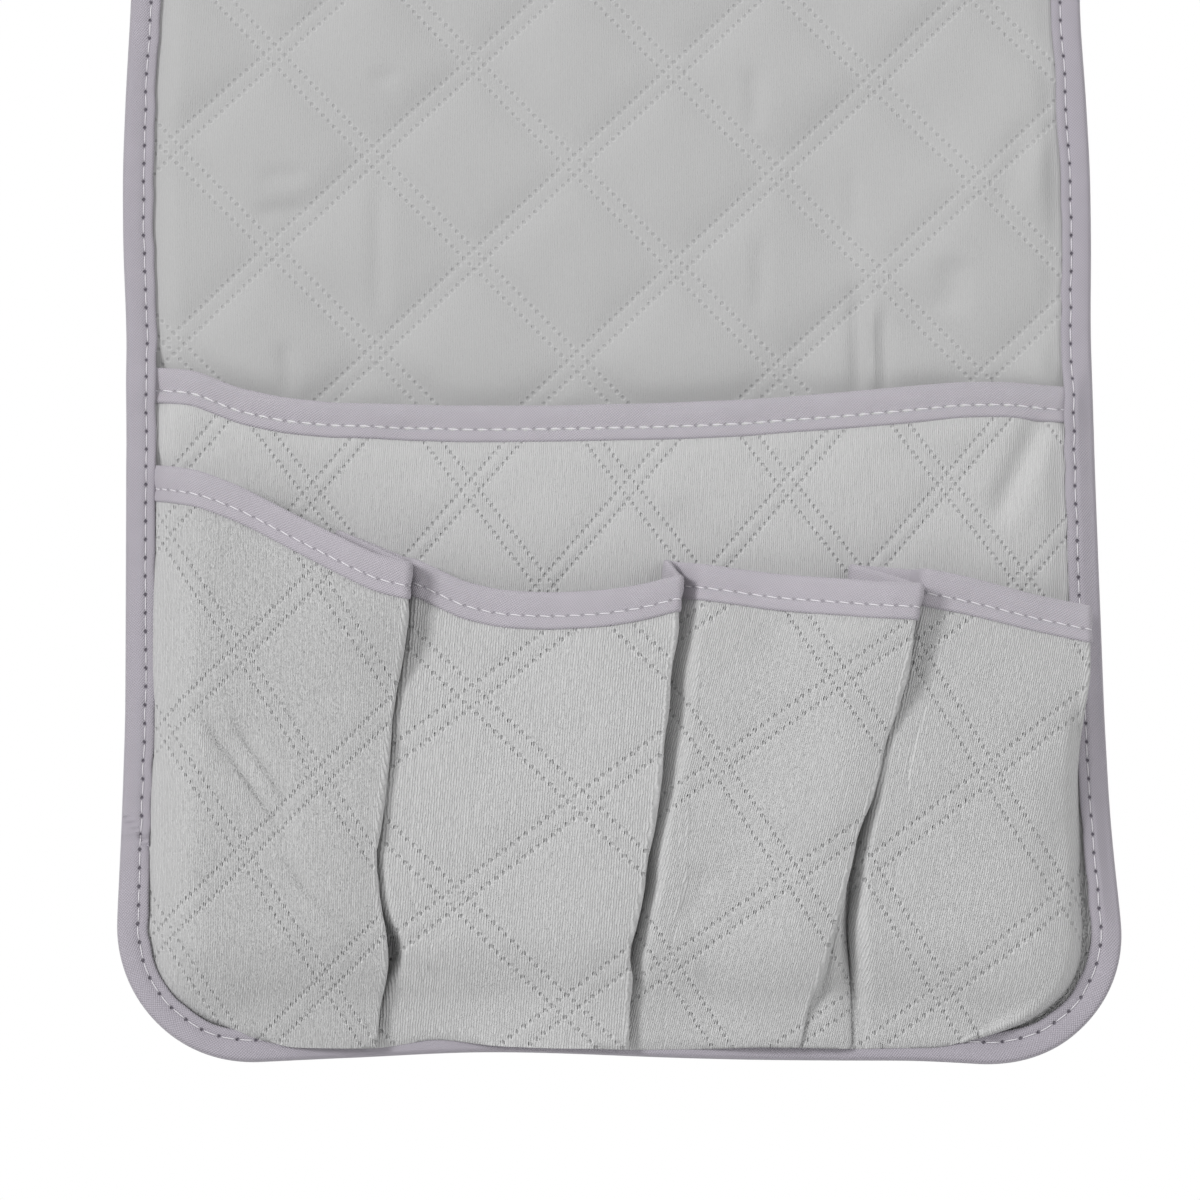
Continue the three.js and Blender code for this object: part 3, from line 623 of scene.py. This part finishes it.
for end in ends:
    path = bindingPath(end, binding["grid"])
    px, pt, ix, it = path.T
    along = runAlong(path[:, :2])
    base = bindingBase(end, px, pt)
    waver = rolling(along, 0 * along, binding["waver"][end])

    def bindingSpot(inset, o):
        return draped(end, *swayed(end, px + ix * inset, pt + it * inset), o)

    run = stitchRun(bindingSpot(binding["line"], base), binding["pitch"])
    pucker = binding["pucker"] * np.cos(run / binding["pitch"] * 2 * math.pi)
    fall = np.where(px > 0, *binding["fall"]) * (base - cloth["edgeFace"]) * ease(pt, 20, 60)
    rings, across = [], []
    for inset, share in binding["face"]:
        fromSeam = inset - binding["line"]
        beside = hump(fromSeam, binding["puckerWidth"]) - hump(fromSeam, binding["grooveWidth"])
        o = base + binding["room"] + binding["height"] * share - pucker * beside
        o = o - fall * (1 - ease(inset, 0.6, 5.0))
        if end == "front":
            o = o + spliceAt(px, pt, inset)
        rings.append(bindingSpot(inset + waver * np.clip(inset / 7, 0, 1), o))
        across.append(inset)
    for inset, share in binding["edge"]:
        rings.append(bindingSpot(inset, share * (base - fall) + binding["innerRoom"] * (share > 0.5)))
        across.append(inset - 1)
    for inset, o in binding["back"]:
        rings.append(bindingSpot(inset, 0 * base + o))
        across.append(-inset - 3)
    for inset in binding["inside"]:
        rings.append(bindingSpot(inset, base + binding["innerRoom"] - fall * (inset < 1)))
        across.append(inset)
    rings = np.stack(rings, 1)
    seamLine = rings[:, seamPoint]
    tape = addSweep(end + "Binding", rings, stitchRun(seamLine, binding["pitch"]), across, edgeTape)
    hangPiece(tape, nodesOf[end]["binding"])

    aside = rings[:, seamPoint + 1] - rings[:, seamPoint - 1]
    normals = np.cross(np.gradient(seamLine, axis=0), aside)
    outward = bindingSpot(binding["line"], base + 5) - bindingSpot(binding["line"], base)
    normals *= np.sign((normals * outward).sum(1))[:, None]
    normals /= np.linalg.norm(normals, axis=1)[:, None]
    thread = addStitches(end + "EdgeStitches", seamLine, normals, binding, binding["lift"], edgeThread)
    hangPiece(thread, [])
    inset, o = binding["back"][1]  # the seam on the back
    under = addStitches(end + "EdgeStitchesUnder", bindingSpot(inset, 0 * base + o), -normals, binding,
                        binding["underLift"], edgeThread)
    hangPiece(under, [])
print("edge binding made")


# tape over a mouth
mouthEdge = {
    # the same lavender tape as the edge binding: the two colours differ only for light, the binding painted
    # darker for the shade it lies in, the mouth tapes lighter
    "colour": "bab5bd", "holeShade": 0.32, "pucker": 0.10, "puckerWidth": 0.9,
    "line": 6.0, "pitch": 4.05, "length": 3.3, "thread": 0.18, "lift": 0.08, "lean": 0.12,
    # profile: distance below the mouth, distance from the middle of the cloth
    "profile": [(9.55, 0.62), (9.5, 1.02), (8.7, 1.22), (7.3, 1.12), (6.0, 0.86), (4.8, 1.16), (2.8, 1.32),
                (1.0, 1.22), (-0.15, 0.92), (-0.6, 0.4), (-0.6, -0.4), (-0.15, -0.9), (1.0, -1.1),
                (4.5, -1.12), (8.8, -1.1), (9.4, -0.66), (0.4, -0.64), (0.4, 0.64)],
}
mouthTape = biasTape("bias-cut polyester tape, mouths", mouthEdge)
down = np.concatenate([np.arange(0, 11.3, 0.8), [12.4]])  # close rows of a pocket's grid, below its mouth


def rowsBelow(mouth, piece):  # t of all rows, from the mouth to the bottom
    share = np.linspace(0, 1, int(piece["drop"] / piece["grid"]) + 1)[1:]
    return np.concatenate([mouth[None] - down[:, None],
                           mix((mouth - down[-1])[None], piece["bottom"], share[:, None])])


def alongColumn(grid, d):  # a row of the grid at a distance below the mouth
    k = int(np.clip(np.searchsorted(down, d) - 1, 0, len(down) - 2))
    share = (d - down[k]) / (down[k + 1] - down[k])
    return mix(grid[k], grid[k + 1], share)


def addMouthTape(name, grid, normals, waves):  # grid and normals are in cloth space, top row first
    along = runAlong(grid[0])
    waver = rolling(along, 0 * along, waves)
    pucker = mouthEdge["pucker"] * np.cos(along / mouthEdge["pitch"] * 2 * math.pi)
    rings, across = [], []
    for d, off in mouthEdge["profile"]:
        at = d + waver * np.clip(d / 9, 0, 1)
        spot = np.stack([alongColumn(grid[:, [j]], at[j])[0] for j in range(grid.shape[1])])
        dent = pucker * hump(d - mouthEdge["line"], mouthEdge["puckerWidth"]) * np.sign(off)
        rings.append(spot + alongColumn(normals, max(d, 0)) * (off + dent)[:, None])
        across.append(d * np.sign(off))
    rings = np.stack(rings, 1)
    line = rings[:, seamPoint]
    path = draped("front", *line.T)
    tape = addSweep(name, draped("front", *np.moveaxis(rings, -1, 0)), stitchRun(path, mouthEdge["pitch"]),
                    across, mouthTape)
    outward = draped("front", *(line + alongColumn(normals, mouthEdge["line"])).T) - path
    thread = addStitches(name + "Stitches", path, outward, mouthEdge, mouthEdge["lift"], paleThread)
    for piece in (tape, thread):
        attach(piece, "front_panel")
    return tape, thread


def gridNormals(grid):  # in cloth space x, t, o, pointing outward
    across = np.gradient(grid, axis=1)
    upward = -np.gradient(grid, axis=0)
    normal = np.cross(across, upward)
    return normal / np.linalg.norm(normal, axis=-1)[..., None]


# wide pocket
cols = clothColumns(wide["grid"])
mouthX = cols * (halfWidth - wide["inset"])
mouth = wideMouthAt(mouthX)
t = rowsBelow(mouth, wide)
x = cols[None] * edgeAt(t, wide["inset"])
swell = ease(insetAt(x, t), *cloth["squeeze"])
uv = patternOf(wide["pattern"], x, t)
rolls = rolling(x, t, wide["rolls"]) + creased(wide["creases"], x, t)
half = mix(wide["edgeThickness"] / 2, wide["thickness"] / 2, swell)
middle = wideBackAt(x, t) + half + swell * rolls
puffed = swell * ease(mouth - t, *wide["puffBelow"]) * wide["puff"] * pillow(uv)
sx, st = swayed("front", x, t)
widePocket = addSheet("widePocketQuilt", draped("front", sx, st, middle + half + puffed),
                      draped("front", sx, st, middle - half), uv, wideCloth)
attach(widePocket, "front_panel")
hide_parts("wide_pocket_quilt")
topGrid = np.stack([sx, st, middle], -1)[:len(down), np.abs(mouthX) < wide["tapeReach"]]
wideTape, wideThread = addMouthTape("widePocketTape", topGrid, gridNormals(topGrid), wide["tapeWaver"])
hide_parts("wide_pocket_tape")
print("wide pocket made")


# pleated strip that makes the four pockets
strip = {
    "half": 0.6, "middle": 0.9, "puff": 0.8, "puffRun": 4.0, "grid": 1.45, "drop": 112, "bottom": 4.6,
    "foot": 11.0, "footRise": 24, "footDepth": 0.2, "footRoom": 3.8, "lastDepth": 4.0, "mouthLift": 0.2,
    "under": 5.95, "inset": 7.9, "tuck": 4.0, "tapeRoom": 0.8, "lead": 0.8, "slope": (0.35, 0.9),
    "foldEnd": 0.7, "riseWidth": 11, "rollWidth": 13,
    # returns of the pleats: start, clearance at the foot and above, room for the cloth, drop behind the fold
    "pleatStart": 0.4, "pleatEase": (0.25, 0.8), "pleatRoom": 2.4, "pleatDrop": 4.0, "pleatBow": 0.06,
    "lastInset": 8.3, "lastTop": 129.8, "lastPleat": 8.2,
    "hiddenColumns": 9, "riseColumns": 19, "pleatColumns": (16, 7, 16, 7),
    # heights at which the place of a column along its mouth is read
    "reachLevel": 120.0, "level": 128.0, "firstLevel": 140.0, "leadLevel": 160.0,
    # how far the foot hangs over the binding, and the swelling that makes it
    "lip": [(-120, 4.6), (-86, 4.4), (-64, 4.1), (-57, 5.2), (-50, 6.6), (-44.6, 6.3), (-36.4, 4.9),
            (-31, 4.4), (-14.4, 3.8), (2, 3.6), (24, 3.8), (40, 4.4), (65, 4.1), (93, 4.4), (120, 4.4)],
    "lipEdge": 1.2, "lipMean": 4.8, "lipShare": 0.9, "bulge": 5.0, "bulgeAt": 10.5, "bulgeWidth": 3.6,
    "rolls": [(0.5, 26, 41), (0.3, 11, 42)], "tapeWaver": [(0.2, 26, 51)], "firstColumns": 12,
    "creases": [(-111.3, 93, -106.9, 78.5, 2.2, 0.9), (-106, 84, -91, 63, 3.0, 2.8),
                (-98.6, 82, -92, 69, 2.6, -0.8), (-101, 87, -89, 69, 2.6, 2.4),
                (-89.6, 55.7, -83.9, 46.4, 2.2, 0.7), (-83.9, 46.4, -70, 32.7, 2.2, 0.8),
                (-59, 27, -46, 22, 2.4, 0.9), (-58, 32, -47, 33, 2.2, 0.6), (-4, 26, 4, 20, 2.4, 0.8),
                (19.4, 37.6, 23.2, 48.6, 4.5, 1.3), (24, 22, 30, 12, 2.4, 0.8), (40, 112, 60, 100, 6, 0.6),
                (70, 60, 76, 48, 3.5, 0.8), (122, 62, 116, 44, 3.5, 0.8), (46, 60, 56, 50, 4, 0.8),
                (-26, 112, -14, 104, 7, 0.6), (96, 112, 104, 98, 6, 0.5)],
}
# depth of each pocket and of its fold, the run over which it rises beside the fold before it, low and high,
# and as points its mouth (x, t) and its fold, left seam and gap to the fold before it (t, x)
pockets = [
    {"depth": 8.5, "run": (14, 14), "foldDepth": 17.6, "press": 4.0, "fill": 0.6,
     "mouth": [(-131, 163.6), (-126, 162.6), (-113, 159.3), (-101, 154.4), (-88.5, 147.5), (-76, 140.9),
               (-64, 134.9), (-56, 133.0), (-52, 132.6)],
     "fold": [(4.7, -66.8), (17, -63.6), (25, -62.2), (34, -62.2), (43.4, -64.4), (55.4, -64.8), (74, -62.7),
              (90, -60.8), (105, -58.5), (124, -56.2), (134, -55.6)],
     "pattern": [(-101.2, 109.8), (22.4, -34.3), (-21.1, -20.6)]},
    {"depth": 9.5, "run": (3.6, 4.8), "foldDepth": 12.6, "press": 0.6, "fill": 1.0,
     "gap": [(10, -2.0), (20, 0.4), (29, 2.7), (38, -0.4), (60, -1.3), (75, -2.2), (140, -2.2)],
     "left": [(0, -75.8), (140, -75.8)],
     "mouth": [(-76, 143.6), (-72, 142.2), (-55, 135.0), (-40.5, 128.3), (-30, 125.8), (-16, 125.0),
               (-2, 125.6), (8.4, 127.2), (18, 129.8), (22, 131)],
     "fold": [(4.7, 2.9), (21.7, 4.2), (28.5, 3.4), (33, 4.6), (47, 7.6), (63, 10.1), (82, 12.8), (102, 14.8),
              (122, 17.2), (130, 18.0)],
     "pattern": [(-38.3, 97.4), (30.0, -28.8), (-34.3, -25.7)]},
    {"depth": 8.5, "run": (4.6, 10), "foldDepth": 17.2, "press": 2.6, "fill": 0.6, "roll": 1.6,
     "gap": [(10, -1.6), (30, -0.4), (46, 1.7), (60, 0.3), (75, -2.0), (140, -2.2)],
     "left": [(5, 1.6), (60, 8.5), (130, 14.4)],
     "mouth": [(12, 135.6), (15, 135.1), (23.5, 133.3), (45, 130.3), (71.5, 127.6), (84, 127.2), (88, 127.0)],
     "fold": [(4.7, 47.2), (18, 53.6), (35, 59.2), (46, 61.6), (60, 65.4), (69, 68.8), (85, 73.2),
              (103, 78.6), (128, 83.4)],
     "pattern": [(28.9, 78.8), (19.8, -30.2), (-33.2, -23.5)]},
    {"depth": 9.5, "run": (3.4, 4.0), "foldDepth": 9.5, "press": 0.0, "fill": 0.3, "slope": (0.76, 1.0),
     "gap": [(10, -1.6), (30, 0.8), (45, 2.3), (62, 1.3), (78, -1.7), (140, -2.2)], "lead": 1.8,
     "left": [(4, 65.6), (21, 64.4), (36, 63.0), (60, 63.6), (130, 65.0)],
     "mouth": [(62, 134.2), (65.5, 134.0), (82, 132.6), (98, 129.5), (115, 125.2), (131, 122.2),
               (135, 121.4)],
     "pattern": [(102.3, 76.9), (19.9, -33.3), (-32.9, -25.7)]},
]
last = len(pockets) - 1
lipAt = softCurve(strip["lip"], 4)


def sideAt(t):  # where the strip goes under the binding
    return edgeAt(t, strip["inset"])


def riseBeside(pocket, before):  # where a front comes out from behind the fold before it
    lead = pocket.get("lead", strip["lead"])
    return lambda t: np.maximum(pocket["leftAt"](t) + lead, before["foldAt"](t) + pocket["gapAt"](t))


for n, pocket in enumerate(pockets):
    pocket["mouthAt"] = softCurve([(a, b + strip["mouthLift"]) for a, b in pocket["mouth"]], 4)
    if n == 0:
        pocket["leftAt"] = pocket["riseAt"] = lambda t: -sideAt(t)
    else:
        pocket["leftAt"] = softCurve(pocket["left"], 4)
        pocket["gapAt"] = softCurve(pocket["gap"], 6)
        pocket["riseAt"] = riseBeside(pocket, pockets[n - 1])
    if n < last:
        pocket["foldAt"] = softCurve(pocket["fold"], 3)
    else:  # the last fold follows the binding and leans out over it at the mouth
        pocket["foldAt"] = lambda t: mix(edgeAt(t, strip["lastInset"]), strip["lastTop"], ease(t, 82, 108))


def pocketBackAt(pocket, x, t):
    left, fold = pocket["leftAt"](t), pocket["foldAt"](t)
    up = np.sin(np.clip((t - strip["foot"]) / strip["footRise"], 0, 1) * math.pi / 2)
    below = ease(pocket["mouth"][-1][1] - t, 10, 36)
    inner = mix(strip["footDepth"], pocket["depth"], up) + pocket["fill"] * below * up
    inner = inner * ease(x - pocket["riseAt"](t), 0, mix(*pocket["run"], ease(t, 55, 85)))
    outer = mix(strip["footDepth"] + strip["footRoom"], pocket["foldDepth"], up)
    outer = outer - pocket["press"] * below * up
    if pocket is pockets[last]:  # the last fold lies down on the binding towards its foot
        outer = mix(strip["lastDepth"], outer, ease(t, 60, 100))
    share = ease((x - left) / (fold - left), *pocket.get("slope", strip["slope"]))
    rolled = pocket.get("roll", 0) * np.clip(1 - (fold - x) / strip["rollWidth"], 0, 1) ** 2
    rolled = rolled * ease(t, 24, 40) * (1 - ease(t, 80, 112))
    return wideTopAt(x, t) + cloth["seamRoom"] + strip["tapeRoom"] + mix(inner, outer, share) - rolled


def spaced(count):  # shares from 0 to 1, closer together at both ends
    k = np.linspace(0, 1, count)
    return k - 0.11 * np.sin(2 * math.pi * k)


# one column after another along the strip: what it belongs to, its pocket, and its share there
onFront = ("hidden", "rise", "front")
columns = [("lead", 0, k) for k in (0.0, 0.5)]
for n, pocket in enumerate(pockets):
    reach = float(pocket["foldAt"](strip["reachLevel"]) - pocket["riseAt"](strip["reachLevel"]))
    if n:
        columns += [("hidden", n, k) for k in np.linspace(0, 1, strip["hiddenColumns"])[:-1]]
        columns += [("rise", n, k) for k in np.linspace(0, 1, strip["riseColumns"])[:-1]]
    columns += [("front", n, k) for k in spaced(int(reach / strip["grid"]))]
    columns += [("pleat", n, k) for k in np.linspace(0, 1, strip["pleatColumns"][n])]
columns += [("tail", last, k) for k in (0.5, 1.0)]


def columnAt(kind, pocket, k, t):  # across from the pocket's left seam to its fold
    left, rise, fold = pocket["leftAt"](t), pocket["riseAt"](t), pocket["foldAt"](t) + strip["foldEnd"]
    if pocket is pockets[0]:
        return mix(left, fold, k)
    risen = rise + strip["riseWidth"]
    spans = {"hidden": (left, rise), "rise": (rise, risen), "front": (risen, fold)}
    return mix(*spans[kind], k)


def columnMouth(kind, n, k):  # height of the mouth at a column
    pocket = pockets[n]
    right = float(pocket["mouthAt"](pocket["foldAt"](strip["level"])))
    if kind in onFront:
        return float(pocket["mouthAt"](columnAt(kind, pocket, k, strip["level" if n else "firstLevel"])))
    if kind == "lead":
        return float(pocket["mouthAt"](pocket["leftAt"](strip["leadLevel"])))
    if kind == "pleat" and n < last:
        after = pockets[n + 1]
        return mix(right, float(after["mouthAt"](after["leftAt"](strip["level"]))), k)
    return right


mouths = np.array([columnMouth(*column) for column in columns])
t = rowsBelow(mouths, strip)
x, o, flatX = np.zeros_like(t), np.zeros_like(t), np.zeros_like(t)  # flatX is x before the pleats are folded
owner = np.array([n for kind, n, k in columns])
for j, (kind, n, k) in enumerate(columns):
    pocket, tj = pockets[n], t[:, j]
    fold = pocket["foldAt"](tj)
    if kind in onFront:
        flatX[:, j] = x[:, j] = columnAt(kind, pocket, k, tj)
        o[:, j] = pocketBackAt(pocket, x[:, j], tj) + strip["middle"]
    elif kind == "lead":
        flatX[:, j] = x[:, j] = pocket["leftAt"](tj) - strip["tuck"] * (1 - k)
        o[:, j] = strip["under"]
    elif kind == "pleat":
        taped = strip["tapeRoom"] * (1 - ease(mouths[j] - tj, 14, 28))
        close = mix(*strip["pleatEase"], ease(tj, 14, 34))
        start = fold + strip["pleatStart"]
        if n < last:
            after = pockets[n + 1]
            seam = after["leftAt"](tj)
            x[:, j] = mix(start, seam, k)
            low = pocketBackAt(after, np.maximum(x[:, j], seam), tj) + strip["pleatRoom"] + 2 * taped + close
        else:
            seam = sideAt(tj) + cloth["seamRoom"]
            x[:, j] = mix(start, np.minimum(seam, fold - 0.5), k)
            low = 0 * tj + strip["lastPleat"]
        high = pocketBackAt(pocket, np.minimum(x[:, j], fold), tj) - close - strip["half"] - 2 * taped
        spread = np.maximum(seam - fold, 0)
        high = high - strip["pleatDrop"] * ease(k, 0.02, 0.24) * ease(spread, 0, 4) * ease(tj, 10, 24)
        fall = np.where(spread > 0, ease(k, 0.5, 1.0), k)
        o[:, j] = mix(high, np.minimum(low, high), fall) + strip["pleatBow"] * spread * np.sin(math.pi * k)
        flatX[:, j] = fold + k * np.abs(seam - fold)
    else:
        x[:, j] = sideAt(tj) + strip["tuck"] * k
        o[:, j] = strip["under"]
        flatX[:, j] = fold + 6 + strip["tuck"] * k
# both sides and the foot go flat under the binding, and the cloth swells over it just above
held = mix(ease(sideAt(t) - x, -0.5, 3.6), 1.0, ease(t, 76, 100))
flatten = np.where(owner[None] == last, held, 1.0)
flatten = np.where(owner[None] == 0, ease(x + sideAt(t), -0.5, 4.5), flatten)
flatten = np.minimum(ease(t, 4.8, 9.5), flatten)
o = mix(strip["under"], o, flatten)
lip = lipAt(x) - strip["lipEdge"] - cornered(x, 0 * x)[1]
bulge = strip["bulge"] + (strip["lipMean"] - lip) / strip["lipShare"]
away = ease(halfWidth - cloth["corner"] + 10 - np.abs(x), 0, 20)  # none round the corners
t = t - bulge * away * hump(t - strip["bulgeAt"], strip["bulgeWidth"])
x, t = cornered(x, t)
middle = np.stack([x, t, o], -1)
for _ in range(2):  # rounds the folds
    middle[:, 1:-1] = 0.25 * middle[:, :-2] + 0.5 * middle[:, 1:-1] + 0.25 * middle[:, 2:]
rolls = rolling(flatX, t, strip["rolls"]) + creased(strip["creases"], flatX, t)
rollShare = np.array([1 - k ** 6 if kind == "front" else 0.6 if kind == "rise" else 0.15
                      for kind, n, k in columns])
rollShare[:strip["firstColumns"]] = np.linspace(0.1, 1, strip["firstColumns"])
middle[..., 2] += flatten * ease(t, 9, 20) * ease(mouths[None] - t, 4, 16) * rollShare[None] * rolls
normals = gridNormals(middle)
uv = np.zeros(t.shape + (2,))
for n, pocket in enumerate(pockets):
    mine = owner == n
    uv[:, mine] = patternOf(pocket["pattern"], flatX[:, mine], t[:, mine])
puffShare = np.array([1.0 if kind in ("front", "rise") else 0.25 for kind, n, k in columns])
puffed = strip["puff"] * pillow(uv, strip["puffRun"]) * ease(t, 12, 22)
puffed = puffed * ease(mouths[None] - t, *wide["puffBelow"]) * puffShare[None]
face = middle + normals * (strip["half"] + puffed)[..., None]
back = middle - normals * strip["half"]
stripPiece = addSheet("pleatedStrip", draped("front", *np.moveaxis(face, -1, 0)),
                      draped("front", *np.moveaxis(back, -1, 0)), uv, pocketCloth)
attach(stripPiece, "front_panel")
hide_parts("strip_hem",
            *[f"pocket_{n}_{kind}" for n in (1, 2, 3, 4) for kind in ("front", "pleat")])
stripTape, stripThread = addMouthTape("stripTape", middle[:len(down)], normals[:len(down)],
                                      strip["tapeWaver"])
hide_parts(*[f"pocket_{n}_{kind}" for n in (1, 2, 3, 4) for kind in ("tape", "pleat_tape")])
print("pleated strip made,", len(columns), "columns")


# stage, light and camera
stage = {"floor": -0.62, "radius": 1.5, "fade": (0.35, 1.3), "world": 0.36,
         "paper": "efefef", "white": "ffffff"}


def backdropRays(add):  # 1 for rays that show the backdrop itself
    rays = add("LightPath").outputs
    seen = rays["Is Camera Ray"]
    for kind in ("Is Glossy Ray", "Is Transmission Ray"):
        seen = add("Math", {0: seen, 1: rays[kind]}, operation="MAXIMUM")
    return seen


bpy.ops.mesh.primitive_circle_add(vertices=96, radius=stage["radius"], fill_type="NGON",
                                  location=(0, 0, stage["floor"]))
floor = bpy.context.object
floor.name = "floor"
floorMaterial = bpy.data.materials.new("matte white paper")  # studio paper: no shine, fades into the white
add = emptyTree(floorMaterial)
place = add("TexCoord").outputs["Object"]
far = add("VectorMath", {0: place}, operation="LENGTH").outputs["Value"]
fade = add("MapRange", {"Value": far, "From Min": stage["fade"][0], "From Max": stage["fade"][1]}, **smooth)
share = add("Math", {0: backdropRays(add), 1: fade}, operation="MULTIPLY")
paper = add("BsdfDiffuse", {"Color": linearColour(stage["paper"])})
white = add("Emission", {"Color": linearColour(stage["white"])})
blended = add("MixShader", {0: share, 1: paper, 2: white})
add("OutputMaterial", {"Surface": blended})
floor.data.materials.append(floorMaterial)

world = bpy.data.worlds.new("studio")
bpy.context.scene.world = world
add = emptyTree(world)
strength = add("MapRange", {"Value": backdropRays(add), "To Min": stage["world"], "To Max": 1.0})
sky = add("Background", {"Color": linearColour(stage["white"]), "Strength": strength})
add("OutputWorld", {"Surface": sky})

lamps = [
    {"name": "keyLight", "place": (-3.19, -3.73, 1.1), "size": 1.3, "power": 136},
    {"name": "fillLight", "place": (1.25, -1.35, 0.15), "size": 1.0, "power": 5},
    {"name": "topLight", "place": (0.2, -0.8, 1.4), "size": 1.0, "power": 4},
    {"name": "rearLight", "place": (0.4, 1.6, 0.7), "size": 1.2, "power": 8},
]
lampAim = Vector((0, -0.1, -0.2))
for lamp in lamps:
    light = bpy.data.lights.new(lamp["name"], "AREA")
    light.size = lamp["size"]
    light.energy = lamp["power"]
    holder = bpy.data.objects.new(lamp["name"], light)
    holder.location = lamp["place"]
    holder.rotation_euler = (lampAim - Vector(lamp["place"])).to_track_quat("-Z", "Y").to_euler()
    bpy.context.scene.collection.objects.link(holder)

# it looks up a little, and sees a width of "across" at its aim
camera = {"aim": (-0.0034, -0.115, -0.2250), "distance": 1.3, "pitch": 6.0, "across": 0.3294, "sensor": 36}
lens = bpy.data.cameras.new("camera")
lens.lens = camera["sensor"] * camera["distance"] / camera["across"]
lens.clip_end = 50
eye = bpy.data.objects.new("camera", lens)
pitch = math.radians(camera["pitch"])
back = Vector((0, -math.cos(pitch), -math.sin(pitch))) * camera["distance"]
eye.location = Vector(camera["aim"]) + back
eye.rotation_euler = (math.pi / 2 + pitch, 0, 0)
bpy.context.scene.collection.objects.link(eye)
bpy.context.scene.camera = eye
bpy.context.scene.view_settings.view_transform = "Standard"
print("stage, light and camera set")
